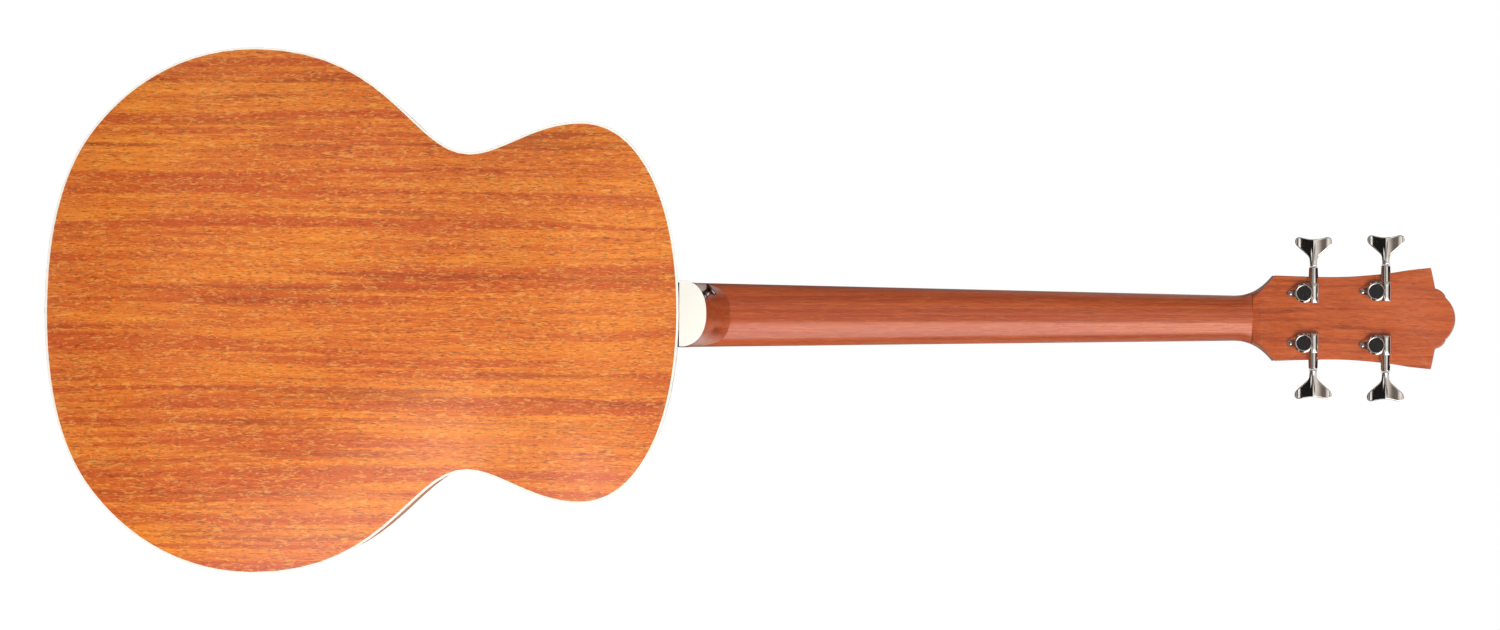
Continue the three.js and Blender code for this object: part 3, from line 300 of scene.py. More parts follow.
def picked(*pieces):
    """Pieces selected, with the first of them active"""
    bpy.ops.object.select_all(action="DESELECT")
    for piece in pieces:
        piece.select_set(True)
    bpy.context.view_layer.objects.active = pieces[0]


@contextmanager
def on_bench(piece):
    """One piece alone in edit mode, with all of it selected"""
    picked(piece)
    bpy.ops.object.mode_set(mode="EDIT")
    bpy.ops.mesh.select_all(action="SELECT")
    yield piece
    bpy.ops.object.mode_set(mode="OBJECT")


def face_outwards():
    """All faces of the piece on the bench, turned outwards"""
    bpy.ops.mesh.select_all(action="SELECT")
    bpy.ops.mesh.normals_make_consistent(inside=False)


def skinned(sections, looped=False, ends=True):
    """A grid laid over like closed sections of points, in order; its two ends are filled unless it is looped"""
    rows, count = len(sections), len(sections[0])
    bpy.ops.mesh.primitive_grid_add(x_subdivisions=count, y_subdivisions=rows if looped else rows - 1)
    piece = bpy.context.object
    for vertex in piece.data.vertices:
        row, column = divmod(vertex.index, count + 1)
        vertex.co = sections[row % rows][column % count]
    with on_bench(piece):
        bpy.ops.mesh.remove_doubles(threshold=weld)
        if ends and not looped:
            bpy.ops.mesh.fill_holes(sides=0)
        face_outwards()
    return piece


def worked(piece, kind, **settings):
    """A piece after one modifier, applied"""
    picked(piece)
    bpy.ops.object.modifier_add(type=kind)
    modifier = piece.modifiers[-1]
    for name, value in settings.items():
        setattr(modifier, name, value)
    bpy.ops.object.modifier_apply(modifier=modifier.name)
    return piece


def fitted(piece, name, finish, body="root", stands_for=(), crease=35):
    """A finished piece: named, given its finish, smoothed between its creases and fixed to its body"""
    piece.name = piece.data.name = name
    piece.data.materials.clear()
    piece.data.materials.append(finish)
    picked(piece)
    bpy.ops.object.shade_smooth_by_angle(angle=math.radians(crease))
    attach(piece, body)
    if stands_for:
        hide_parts(*stands_for)


def shader_group(name, takes, gives):
    """A node group with named inputs, each with its kind and value, and named outputs"""
    made = bpy.data.node_groups.new(name, "ShaderNodeTree")
    for label, kind, value in takes:
        socket = made.interface.new_socket(label, in_out="INPUT", socket_type="NodeSocket" + kind)
        if value is not None:
            socket.default_value = value
    for label, kind in gives:
        made.interface.new_socket(label, in_out="OUTPUT", socket_type="NodeSocket" + kind)
    return made, made.nodes.new("NodeGroupInput").outputs, made.nodes.new("NodeGroupOutput")


def grain_noise(tree, place, stretch, detail=1.0, twist=0.0):
    """Noise that is finer by a stretch along each axis"""
    scaled = put(tree, "VectorMath", {0: place, 1: stretch}, operation="MULTIPLY").outputs[0]
    return put(tree, "TexNoise", {"Vector": scaled, "Scale": 1.0, "Detail": detail,
                                  "Distortion": twist}).outputs[0]


def streaks(tree, place, stretch, detail=2.0, low=0.35, high=0.65, twist=0.0):
    """Noise drawn out along the grain, with its middle range spread over 0 to 1"""
    noise = grain_noise(tree, place, stretch, detail, twist)
    return put(tree, "MapRange", {"Value": noise, "From Min": low, "From Max": high},
               interpolation_type="SMOOTHSTEP").outputs[0]


def moved_aside(tree, place, shift):
    """A place moved across the grain"""
    aside = put(tree, "CombineXYZ", {"X": shift}).outputs[0]
    return put(tree, "VectorMath", {0: place, 1: aside}, operation="ADD").outputs[0]


def inverse(tree, share):
    """What is left of one after a share"""
    return put(tree, "Math", {0: 1.0, 1: share}, operation="SUBTRACT").outputs[0]


def new_finish(name):
    """A new material, its node tree, and the outputs that tell where on its piece a point lies"""
    made = bpy.data.materials.new(name)
    made.use_nodes = True
    return made, made.node_tree, put(made.node_tree, "TexCoord").outputs


def shaded(tree, sockets):
    """The material's own shader, with its sockets set or linked"""
    fed(tree, tree.nodes["Principled BSDF"], sockets)


figure, takes, gives = shader_group("ribbon_mahogany", (
    ("Place", "Vector", None), ("Light", "Color", tone(248, 146, 46)), ("Dark", "Color", tone(206, 88, 34)),
    ("Ribbon", "Color", tone(198, 76, 28)), ("Streak", "Color", tone(150, 46, 16)),
    ("Fleck", "Color", tone(255, 192, 98)), ("Pore", "Color", tone(112, 34, 10)),
    ("Ribbon Share", "Float", 0.75), ("Fleck Share", "Float", 0.45), ("Pore Share", "Float", 0.55),
), (("Color", "Color"), ("Roughness", "Float"), ("Height", "Float")))
drift = grain_noise(figure, takes["Place"], (9, 9, 2.4))
ripple = grain_noise(figure, takes["Place"], (160, 60, 70))
place = moved_aside(figure, takes["Place"], added(figure, drift, 0.016, times(figure, ripple, 0.0016)))
ribbon = streaks(figure, place, (112, 26, 3.2), 4.0, 0.48, 0.62, 0.5)
band = streaks(figure, place, (210, 60, 7), 3.0, 0.33, 0.67)
broad = streaks(figure, place, (11, 6, 5), 1.0, 0.4, 0.6)
hair = streaks(figure, place, (900, 300, 42), 2.0, 0.3, 0.7)
vein = streaks(figure, place, (130, 40, 4.5), 2.0, 0.58, 0.72)
curl = streaks(figure, place, (620, 200, 150), 2.0, 0.5, 0.68, 1.2)
pore = streaks(figure, place, (1300, 450, 190), 1.0, 0.56, 0.68, 0.6)
light_share = added(figure, hair, 0.3, added(figure, broad, 0.25, times(figure, band, 0.45)))
colour = blended(figure, light_share, takes["Dark"], takes["Light"])
colour = blended(figure, times(figure, ribbon, takes["Ribbon Share"]), colour, takes["Ribbon"])
colour = blended(figure, times(figure, vein, 0.5), colour, takes["Streak"])
colour = blended(figure, times(figure, curl, takes["Fleck Share"]), colour, takes["Fleck"])
colour = blended(figure, times(figure, pore, takes["Pore Share"]), colour, takes["Pore"])
fed(figure, gives, {"Color": colour, "Roughness": mapped(figure, band, 0.4, 0.5),
                    "Height": inverse(figure, pore)})


def wooden(name, stretch=(1, 1, 1), along_seam=None, gloss=0.8, haze=0.28, **looks):
    """A satin-lacquered mahogany: the figure on the piece's own place, or along a bent side's own map"""
    made, tree, seats = new_finish(name)
    place = seats["Object"]
    if along_seam:
        across = put(tree, "SeparateXYZ", {"Vector": place}).outputs["Y"]
        along = times(tree, put(tree, "SeparateXYZ", {"Vector": seats["UV"]}).outputs["Y"], along_seam)
        place = put(tree, "CombineXYZ", {"X": across, "Z": along}).outputs[0]
    place = put(tree, "Mapping", {"Vector": place, "Scale": stretch}).outputs[0]
    looks = {label.replace("_", " ").title(): value for label, value in looks.items()}
    wood = put(tree, "Group", {"Place": place, **looks}, node_tree=figure).outputs
    bump = put(tree, "Bump", {"Height": wood["Height"], "Strength": 0.25, "Distance": 0.00015}).outputs[0]
    shaded(tree, {"Base Color": wood["Color"], "Roughness": wood["Roughness"], "Normal": bump,
                  "Coat Weight": gloss, "Coat Roughness": haze, "Specular IOR Level": 0.3})
    return made


back_wood = wooden("back_mahogany", stretch=(1, 0.2, 1))
rim = outline(binding_width + plate_gap)
back_middle = Vector((0, tail_z + back_middle_share * body_length))


def arch_rise(point):
    """Height of the arch above the rim, by the distance to the nearest edge of the outline"""
    nearest = 1.0
    for number, start in enumerate(rim):
        edge = rim[(number + 1) % len(rim)] - start
        share = max(0.0, min(1.0, (point - start).dot(edge) / edge.length_squared))
        nearest = min(nearest, (start + share * edge - point).length)
    return back_crown * (1 - (1 - min(1.0, nearest / arch_reach)) ** 2)


back_sections = []
for ring in range(back_rings + 1):
    share = 1 - (ring / back_rings) ** ring_crowding
    points = [back_middle + share * (point - back_middle) for point in rim]
    rises = [arch_rise(point) if share < 1 else 0 for point in points]
    back_sections.append([Vector((p.x, rim_y(p.y) + rise, p.y)) for p, rise in zip(points, rises)])
back = skinned(back_sections, ends=False)
with on_bench(back):
    bpy.ops.mesh.select_non_manifold()
    bpy.ops.mesh.select_more()
    bpy.ops.mesh.select_all(action="INVERT")
    bpy.ops.mesh.vertices_smooth(factor=0.5, repeat=arch_smoothing, xaxis=False, yaxis=True, zaxis=False)
if sum(face.normal.y for face in back.data.polygons) < 0:
    with on_bench(back):
        bpy.ops.mesh.flip_normals()
worked(back, "SOLIDIFY", thickness=back_thickness, offset=-1)
fitted(back, "arched_back", back_wood, stands_for=("back_plate",))


# The sides: two mahogany ribs 2.3 mm thick, bent over a hot iron to the outline of the back. They meet on the
# middle line at the tail, and stop on either side of the neck's tenon.
glue_gap = 0.0003
side_thickness = 0.0023
binding_height = 0.006
tenon_half = 0.011
side_wood = wooden("side_mahogany", along_seam=0.78)


def rib(side):
    """One rib between the two bindings, as thin sections square to the outline"""
    outer, inner = half_outline(0), half_outline(side_thickness)
    for points in (outer, inner):
        points[0].x = glue_gap / 2
        points[-1].x = tenon_half + 2 * glue_gap
    drop = binding_height + glue_gap
    low = front_y + drop
    return skinned([[Vector((side * p.x, y, p.y)) for p, y in (
        (o, low), (o, rim_y(o.y) - drop), (i, rim_y(i.y) - drop), (i, low))] for o, i in zip(outer, inner)])


for label, side in (("treble", 1), ("bass", -1)):
    fitted(rib(side), f"{label}_rib", side_wood, stands_for=(f"side_{label}",))


# Inside the body: linings in the corners, a block at each end, the crossed braces, and a hard plate under the
# bridge. They are glued in bare, with no lacquer.
inner_nodes = ("lining_front", "lining_back", "neck_block", "tail_block", "x_brace_treble", "x_brace_bass",
               "transverse_brace", "tone_bar")


def refinished(nodes, finish):
    """Nodes of the frame that stay in sight, given a finish"""
    for node in nodes:
        mesh = frame["nodes"][node].data
        mesh.materials.clear()
        mesh.materials.append(finish)


bare_wood = wooden("bare_lining_wood", stretch=(1.6, 1.6, 1.6), gloss=0.0, light=tone(222, 178, 124),
                   dark=tone(198, 148, 94), streak=tone(176, 124, 74), fleck=tone(232, 196, 148),
                   pore=tone(150, 100, 60), fleck_share=0.3, pore_share=0.3)
refinished(inner_nodes, bare_wood)
plate_wood = wooden("bridge_plate_maple", stretch=(0.3, 1, 3), gloss=0.0, light=tone(120, 76, 50),
                    dark=tone(84, 50, 34), streak=tone(62, 34, 24), fleck=tone(140, 92, 62),
                    pore=tone(44, 24, 16), fleck_share=0.3, pore_share=0.6)
refinished(("bridge_plate",), plate_wood)


# The soundboard: two matched halves of straight-grained spruce 3 mm thick, with a round soundhole and holes for
# the strings and their pins. Fine dark winter rings run along it, and a silky shimmer runs across them.
board_thickness = 0.003
board_end_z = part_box("fingerboard")[0].z
board_end_gap = 0.004
hole_radius = 0.05
hole_z = board_end_z - board_end_gap - hole_radius
string_diameters = (0.00267, 0.00216, 0.00165, 0.00114)
string_gap_at_pins = 0.019
string_sink_share = 0.2
pin_radius, pin_gap = 0.0026, 0.0001
pin_z = (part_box("bridge_pin_1")[0].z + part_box("bridge_pin_1")[1].z) / 2


def spruce_finish():
    """Straight-grained spruce under an ageing satin lacquer"""
    made, tree, seats = new_finish("soundboard_spruce")
    place = seats["Object"]
    sway = times(tree, grain_noise(tree, place, (10, 10, 1.6)), 0.02)
    rings = put(tree, "TexWave", {"Vector": moved_aside(tree, place, sway), "Scale": 155.0, "Distortion": 0.6,
                                  "Detail": 1.0, "Detail Scale": 0.4},
                bands_direction="X", wave_profile="SAW").outputs["Fac"]
    silk = streaks(tree, place, (60, 60, 420), 2.0, 0.4, 0.7)
    broad = streaks(tree, place, (22, 22, 1.4), 2.0, 0.3, 0.7)
    colour = blended(tree, broad, tone(233, 190, 124), tone(224, 176, 108))
    colour = blended(tree, times(tree, mapped(tree, rings, 0.0, 1.0, 0.35), 0.6), colour, tone(178, 122, 66))
    colour = blended(tree, times(tree, silk, 0.25), colour, tone(244, 210, 154))
    bump = put(tree, "Bump", {"Height": rings, "Strength": 0.12, "Distance": 0.0001}).outputs[0]
    shaded(tree, {"Base Color": colour, "Roughness": mapped(tree, silk, 0.36, 0.44), "Normal": bump,
                  "Coat Weight": 0.35, "Coat Roughness": 0.25})
    return made


def settled(piece):
    """A piece with its place put into its mesh"""
    picked(piece)
    bpy.ops.object.transform_apply(location=True, rotation=True, scale=True)
    return piece


def peg(radius, length, place, turn=(0, 0, 0), steps=24):
    """A round solid about a place, along Z unless it is turned"""
    bpy.ops.mesh.primitive_cylinder_add(vertices=steps, radius=radius, depth=length, location=place,
                                        rotation=turn)
    return bpy.context.object


def upright(radius, x, z, low_y, high_y, steps=24):
    """A round cutter along Y"""
    return settled(peg(radius, high_y - low_y, (x, (low_y + high_y) / 2, z), (math.pi / 2, 0, 0), steps))


def together(pieces):
    """Several pieces as one object"""
    picked(*pieces)
    bpy.ops.object.join()
    return pieces[0]


def carved(piece, cutters, operation="DIFFERENCE"):
    """A piece cut by, or grown together with, other solids, which are used up"""
    for cutter in cutters:
        worked(piece, "BOOLEAN", operation=operation, object=cutter, solver="EXACT")
        bpy.data.objects.remove(cutter)
    return piece


def ringed(points, y):
    """Points of X and Z at one level"""
    return [Vector((point.x, y, point.y)) for point in points]


def string_x(number, gap):
    """Place of a string across the instrument, numbered from 0 on the bass side"""
    return (number - 1.5) * gap


def string_hole_z(diameter):
    """Place of a string beside its pin, towards the saddle"""
    return pin_z + pin_radius - string_sink_share * diameter


def pin_holes(low_y, high_y):
    """Cutters for the four pins and for the strings beside them"""
    cutters = []
    for number, diameter in enumerate(string_diameters):
        x = string_x(number, string_gap_at_pins)
        cutters.append(upright(pin_radius + pin_gap, x, pin_z, low_y, high_y, 40))
        cutters.append(upright(diameter / 2 + pin_gap, x, string_hole_z(diameter), low_y, high_y))
    return cutters


hole_middle = Vector((0, hole_z))
hole_edge = [hole_middle + hole_radius * (point - hole_middle).normalized() for point in rim]
board_back_y = front_y + board_thickness
board = skinned([ringed(rim, front_y), ringed(hole_edge, front_y), ringed(hole_edge, board_back_y),
                 ringed(rim, board_back_y)], looped=True)
carved(board, pin_holes(front_y - board_thickness, board_back_y + board_thickness))


# The rosette: rings of ivory and dark veneer round the soundhole, glued into a shallow groove of the soundboard
# and scraped almost level with it.
rosette_inner, rosette_outer = 0.0535, 0.0605
rosette_depth, rosette_proud = 0.0006, 0.00004
rosette_steps = 128
pale_ring, dark_ring, wood_ring = tone(240, 232, 208), tone(30, 22, 18), tone(120, 56, 32)
rosette_bands = ((0.0, dark_ring), (0.07, pale_ring), (0.14, dark_ring), (0.2, wood_ring), (0.42, dark_ring),
                 (0.47, pale_ring), (0.55, dark_ring), (0.6, wood_ring), (0.8, dark_ring), (0.86, pale_ring),
                 (0.93, dark_ring))


def round_turns(steps):
    """Evenly spaced angles, once round"""
    return [math.tau * step / steps for step in range(steps)]


def round_points(radius, middle, steps):
    """Points of X and Z round a circle"""
    return [middle + radius * Vector((math.cos(turn), math.sin(turn))) for turn in round_turns(steps)]


def ring_finish(name, bands):
    """Concentric bands by the distance from the middle of the soundhole"""
    made, tree, seats = new_finish(name)
    place = put(tree, "Mapping", {"Vector": seats["Object"], "Location": (0, 0, -hole_z),
                                  "Scale": (1, 0, 1)}).outputs[0]
    away = put(tree, "VectorMath", {0: place}, operation="LENGTH").outputs["Value"]
    ramp = put(tree, "ValToRGB", {"Fac": mapped(tree, away, 0.0, 1.0, rosette_inner, rosette_outer)})
    ramp.color_ramp.interpolation = "CONSTANT"
    for stop, (start, colour) in enumerate(bands):
        element = ramp.color_ramp.elements.new(start) if stop else ramp.color_ramp.elements[0]
        element.color = colour
    ramp.color_ramp.elements.remove(ramp.color_ramp.elements[-1])
    fleck = streaks(tree, seats["Object"], (900, 900, 900), 2.0, 0.3, 0.75)
    colour = blended(tree, times(tree, fleck, 0.18), ramp.outputs[0], tone(150, 110, 84))
    shaded(tree, {"Base Color": colour, "Roughness": mapped(tree, fleck, 0.3, 0.4)})
    return made


def flat_ring(inner, outer, low_y, high_y):
    """A flat ring round the soundhole, between two levels"""
    inside = round_points(inner, hole_middle, rosette_steps)
    outside = round_points(outer, hole_middle, rosette_steps)
    return skinned([ringed(inside, low_y), ringed(outside, low_y), ringed(outside, high_y),
                    ringed(inside, high_y)], looped=True)


groove = flat_ring(rosette_inner - plate_gap, rosette_outer + plate_gap, front_y - rosette_depth,
                   front_y + rosette_depth + plate_gap)
carved(board, [groove])
fitted(board, "spruce_soundboard", spruce_finish(), stands_for=("soundboard",))
rosette = flat_ring(rosette_inner, rosette_outer, front_y - rosette_proud, front_y + rosette_depth)
fitted(rosette, "soundhole_rosette", ring_finish("rosette_veneers", rosette_bands))


# The bindings: strips of ivory-coloured plastic, 2 mm by 6 mm, glued into a rabbet all round the back and the
# soundboard, with their outer corner rounded over.
binding_profile = ((0, binding_height), (0, 0.0004), (0.00004, 0.0002), (0.00013, 0.00009), (0.00025, 0.00002),
                   (0.00042, 0), (binding_width, 0), (binding_width, binding_height))


def trim_finish(name, body, vein, roughness=0.26):
    """Smooth pale plastic or bone with a faint vein along it"""
    made, tree, seats = new_finish(name)
    cloud = streaks(tree, seats["Object"], (60, 60, 25), 3.0, 0.3, 0.7)
    thread = streaks(tree, seats["Object"], (700, 700, 60), 2.0, 0.45, 0.75)
    colour = blended(tree, times(tree, cloud, 0.35), body, vein)
    colour = blended(tree, times(tree, thread, 0.3), colour, vein)
    shaded(tree, {"Base Color": colour, "Roughness": mapped(tree, cloud, roughness, roughness + 0.08),
                  "Subsurface Weight": 0.05, "Subsurface Radius": (0.002, 0.0016, 0.001)})
    return made


def bound_edge(level, side):
    """A binding round the outline: its profile's drop runs away from a rim level"""
    return skinned([[Vector((p.x, level(p.y) + side * drop, p.y)) for p in outline(inset)]
                    for inset, drop in binding_profile], looped=True)


ivory = trim_finish("ivory_binding", tone(255, 253, 243), tone(252, 246, 230))
fitted(bound_edge(rim_y, -1), "back_binding", ivory, stands_for=("binding_back",))
fitted(bound_edge(lambda z: front_y, 1), "front_binding", ivory, stands_for=("binding_front",))


# The neck: one length of mahogany, carved from the heel through the round shaft to the headstock, which leans
# back 13 degrees. A channel for the truss rod opens into a pocket beyond the nut.
nut_half, joint_half = 0.0188, 0.027
shaft_depth_nut, shaft_depth_joint = 0.0142, 0.017
head_tilt = math.radians(13)
head_start = 0.0055
head_thickness = 0.0135
face_thickness = 0.002
shoulder_half, shoulder_along = 0.0355, 0.0221
head_flat_half, head_flat_start = 0.0148, 0.0045
flat_least, flat_most = 0.02, 0.98
flare_length = 0.034
flare_power = 2.6
shaft_steps, flare_steps, section_steps, crest_steps = 24, 60, 16, 8
overcut = 0.001
nut_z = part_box("nut")[0].z
head_z = nut_z + head_start
head_axes = Matrix(((1, 0, 0), (0, math.sin(head_tilt), -math.cos(head_tilt)),
                    (0, math.cos(head_tilt), math.sin(head_tilt)))).to_4x4()
head_frame = Matrix.Translation((0, front_y, head_z)) @ head_axes
head_rise = math.tan(head_tilt)
shoulder_z = head_z + shoulder_along * math.cos(head_tilt) - head_thickness * math.sin(head_tilt)
flat_start_z = head_z + head_flat_start * math.cos(head_tilt) - head_thickness * math.sin(head_tilt)


def spread(low, high, steps):
    """Values from low to high in even steps, both ends with them"""
    return [low + (high - low) * step / steps for step in range(steps + 1)]


def board_half(z):
    """Half width of the fingerboard and of the neck under it"""
    return nut_half + (joint_half - nut_half) * (nut_z - z) / (nut_z - neck_end_z)


def head_back(z):
    """Level of the headstock's flat back"""
    return front_y + (z - head_z) * head_rise + head_thickness / math.cos(head_tilt)


def neck_section(z):
    """A section of the shaft: round behind, and in the headstock's flare a flat that widens to the shoulders"""
    flare = max(0.0, (z - (shoulder_z - flare_length)) / flare_length)
    plain = board_half(min(z, nut_z))
    half = plain + (shoulder_half - plain) * min(1.0, flare) ** flare_power
    depth = shaft_depth_nut + (shaft_depth_joint - shaft_depth_nut) * (nut_z - z) / (nut_z - neck_end_z)
    top = front_y + max(0.0, (z - head_z) * head_rise)
    into_head = max(0.0, (z - flat_start_z) / (shoulder_z - flat_start_z))
    flat_half = min(half * flat_most, head_flat_half + (shoulder_half - head_flat_half) * into_head)
    back = head_back(z)
    if not into_head:
        flat_half = half * flat_least
        back = min(front_y + depth, head_back(flat_start_z))
    side = [(flat_half + (half - flat_half) * math.cos(turn), top + (back - top) * math.sin(turn))
            for turn in spread(0, math.pi / 2, section_steps)]
    return [Vector((x, y, z)) for x, y in side + [(-x, y) for x, y in reversed(side)]]


shaft_start_z = neck_end_z + glue_gap
flare_start_z = shoulder_z - flare_length
stations = spread(shaft_start_z, flare_start_z, shaft_steps)[:-1]
stations += [flare_start_z + flare_length * share for share in spread(0, 1, flare_steps)]
neck = skinned([neck_section(z) for z in stations])

# The headstock's outline from the shoulder to the tip, as across and up along the headstock
head_edge = [Vector(pair) for pair in (
    (0.0355, 0.0221), (0.0347, 0.0456), (0.0342, 0.0688), (0.0349, 0.0896), (0.0373, 0.115), (0.0399, 0.1318),
    (0.0418, 0.1492))]
crest_edge = [[Vector(pair) for pair in controls] for controls in (
    ((0.0418, 0.1492), (0.0338, 0.1512), (0.0262, 0.1522), (0.0249, 0.1529)),
    ((0.0249, 0.1529), (0.0236, 0.1582), (0.0205, 0.1606), (0.0172, 0.1614)),
    ((0.0172, 0.1614), (0.0128, 0.1662), (0.0066, 0.169), (0, 0.169)))]


def through(points, steps):
    """A smooth line through points, with the same number of steps between each two"""
    line = []
    for number in range(len(points) - 1):
        before = points[max(number - 1, 0)]
        start, end = points[number], points[number + 1]
        after = points[min(number + 2, len(points) - 1)]
        controls = (start, start + (end - before) / 6, end - (after - start) / 6, end)
        line += [bend(controls, step / steps)[0] for step in range(steps)]
    return line + [points[-1]]


def head_outline(first):
    """The whole outline of the headstock: a first corner at the nut, then up, over the crest and down"""
    half = [Vector(first)] + through(head_edge, crest_steps)
    for controls in crest_edge:
        half += [bend(controls, share)[0] for share in spread(0, 1, crest_steps)[1:]]
    return half + mirrored(half[:-1])


def plate(corners, travel, rounding, segments=3):
    """A plate from the corners of one face, carried across to the other, whose edge is eased"""
    bpy.ops.mesh.primitive_circle_add(vertices=len(corners), radius=1, fill_type="NGON")
    piece = bpy.context.object
    for vertex, corner in zip(piece.data.vertices, corners):
        vertex.co = corner
    with on_bench(piece):
        bpy.ops.mesh.extrude_region_move(TRANSFORM_OT_translate={"value": travel})
        bpy.ops.mesh.region_to_loop()
        bpy.ops.mesh.bevel(offset=rounding, segments=segments, affect="EDGES", clamp_overlap=True)
        face_outwards()
    return piece


def flat_plate(edge_points, start, end, rounding, segments=3):
    """A plate with an outline of X and Z, from one level to another, where its edge is eased"""
    return plate(ringed(edge_points, start), (0, end - start, 0), rounding, segments)


def on_head(piece):
    """A piece drawn on the headstock's own plane, moved to its place"""
    piece.matrix_world = head_frame @ piece.matrix_world
    return settled(piece)


def head_plate(edge_points, start, end, rounding):
    """A plate on the headstock's own plane, from one level to another, where its edge is eased"""
    return on_head(plate([Vector((*point, start)) for point in edge_points], (0, 0, end - start), rounding))


def block(low, high):
    """A plain box between two corners"""
    low, high = Vector(low), Vector(high)
    bpy.ops.mesh.primitive_cube_add(size=1, location=(low + high) / 2, scale=high - low)
    return settled(bpy.context.object)


head_blade = head_plate(head_outline((0.0344, 0.0211)), 0, -head_thickness, 0.0009)

# The heel: a rounded D from the cap down to the shaft, hollowed to a sweeping curve
heel_half, heel_reach, heel_fullness = 0.027, 0.022, 0.87
heel_cap_thickness = 0.0025
heel_levels, heel_arc_steps = 40, 40
heel_cap_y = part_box("heel_cap")[1].y
heel_back_y = heel_cap_y - heel_cap_thickness - glue_gap
heel_foot_share = 0.93
heel_widening = 0.01
tenon_depth, tenon_root, tenon_inset = 0.022, 0.002, 0.0162
tenon_low_y = board_back_y + tenon_inset
tenon_high_y = heel_rim_y - back_thickness - tenon_inset


def fuller(share):
    """A circle's sine or cosine, drawn a little towards a square"""
    return math.copysign(abs(share) ** heel_fullness, share)


def heel_outline(half, reach):
    """The D of the heel at one level, as points of X and Z"""
    return [Vector((half * fuller(math.cos(turn)), shaft_start_z + reach * fuller(max(0.0, math.sin(turn)))))
            for turn in spread(0, math.pi, heel_arc_steps)]


def heel_growth(share):
    """How much further than the cap the heel reaches up the neck, at a share of the way down to the shaft"""
    return 0.975 + 0.025 * max(0.0, 1 - share / 0.08) + 1.9 * share**4.2


def heel_section(share):
    """A section of the heel at a share of the way down from its cap to the shaft"""
    edge_points = heel_outline(heel_half * (1 + heel_widening * min(1.0, share * 2)),
                               heel_reach * heel_growth(share))
    return ringed(edge_points, heel_back_y + share * (front_y - heel_back_y))


heel = skinned([heel_section(share) for share in spread(0, heel_foot_share, heel_levels)])
tenon = block((-tenon_half, tenon_low_y, neck_end_z - tenon_depth),
              (tenon_half, tenon_high_y, neck_end_z + tenon_root))
carved(neck, [head_blade, heel, tenon], "UNION")
tuner_places = ((1, -1, 0.0207, 0.0468), (2, -1, 0.0222, 0.1057),
                (3, 1, 0.0222, 0.1057), (4, 1, 0.0207, 0.0468))
post_hole_radius = 0.0063
truss_radius = 0.003
truss_y = front_y + 2 * truss_radius
truss_start_z = neck_end_z + heel_reach
pocket_half, pocket_end_z = 0.0065, head_z + 0.024
pocket_depth, pocket_clear, pocket_rounding = 0.011, 0.004, 0.006


def post_holes(low, high):
    """Cutters for the four tuning posts, square to the headstock"""
    return [on_head(peg(post_hole_radius, high - low, (side * across, up, (low + high) / 2), steps=32))
            for _, side, across, up in tuner_places]


def truss_pocket():
    """The pocket for the truss rod's nut, with its round end"""
    pocket = block((-pocket_half, front_y - pocket_clear, head_z),
                   (pocket_half, front_y + pocket_depth, pocket_end_z))
    with on_bench(pocket):
        bpy.ops.mesh.select_all(action="DESELECT")
    for edge in pocket.data.edges:
        ends = [pocket.data.vertices[index].co for index in edge.vertices]
        edge.select = min(end.z for end in ends) > head_z + overcut and abs(ends[0].y - ends[1].y) > pocket_half
    bpy.ops.object.mode_set(mode="EDIT")
    bpy.ops.mesh.bevel(offset=pocket_rounding, segments=6, affect="EDGES")
    bpy.ops.object.mode_set(mode="OBJECT")
    return pocket


channel = block((-truss_radius - glue_gap, front_y - overcut, truss_start_z - glue_gap),
                (truss_radius + glue_gap, truss_y + truss_radius + glue_gap, head_z + overcut))
carved(neck, [channel, truss_pocket(), *post_holes(-head_thickness - overcut, pocket_clear)])
neck_wood = wooden("neck_mahogany", stretch=(1.3, 1.3, 0.4), gloss=1.0, haze=0.2, light=tone(208, 102, 52),
                   dark=tone(174, 73, 36), ribbon=tone(156, 62, 34), streak=tone(126, 46, 23),
                   fleck=tone(222, 132, 68), pore=tone(92, 32, 16), ribbon_share=0.55, fleck_share=0.25,
                   pore_share=0.35)
fitted(neck, "carved_neck", neck_wood, stands_for=("neck",), crease=28)


# The heel cap: a plate of the bindings' plastic glued over the end of the heel, its edge eased.
cap_edge = heel_outline(heel_half, heel_reach)
cap = flat_plate(cap_edge, heel_cap_y - heel_cap_thickness, heel_cap_y, 0.0002)
fitted(cap, "ivory_heel_cap", ivory, stands_for=("heel_cap",))


# The truss rod lies in its channel under the fingerboard. Its brass hexagon nut turns in the pocket, under a
# bell-shaped cover of black plastic with two small screws.
bell_thickness = 0.0018
bell_back = face_thickness + 2 * glue_gap
bell_front = bell_back + bell_thickness
bell_shape = [Vector(pair) for pair in ((0.013, 0.0), (0.013, 0.0125), (0.0115, 0.0195), (0.0088, 0.0268),
                                        (0.0071, 0.0345), (0.0052, 0.0392), (0.0028, 0.0412), (0, 0.0415))]
bell_screws_up = (0.005, 0.0362)
cross_length, cross_width = 0.62, 0.13


def lit(colour, share):
    """A colour with its light multiplied by a share"""
    return (*(channel * share for channel in colour[:3]), 1)


def metal(name, colour, roughness, brushed=None, wear=0.25):
    """Plated or drawn metal: its roughness drifts, and fine lines run along its brushing"""
    made, tree, seats = new_finish(name)
    cloud = streaks(tree, seats["Object"], (160, 160, 160), 3.0, 0.3, 0.75)
    shaded(tree, {"Base Color": blended(tree, cloud, colour, lit(colour, 0.82)), "Metallic": 1.0,
                  "Roughness": mapped(tree, cloud, roughness, roughness * (1 + wear))})
    if brushed:
        drawn = streaks(tree, seats["Object"], brushed, 2.0, 0.25, 0.75)
        bump = put(tree, "Bump", {"Height": drawn, "Strength": 0.15, "Distance": 0.00004}).outputs[0]
        shaded(tree, {"Normal": bump})
    return made


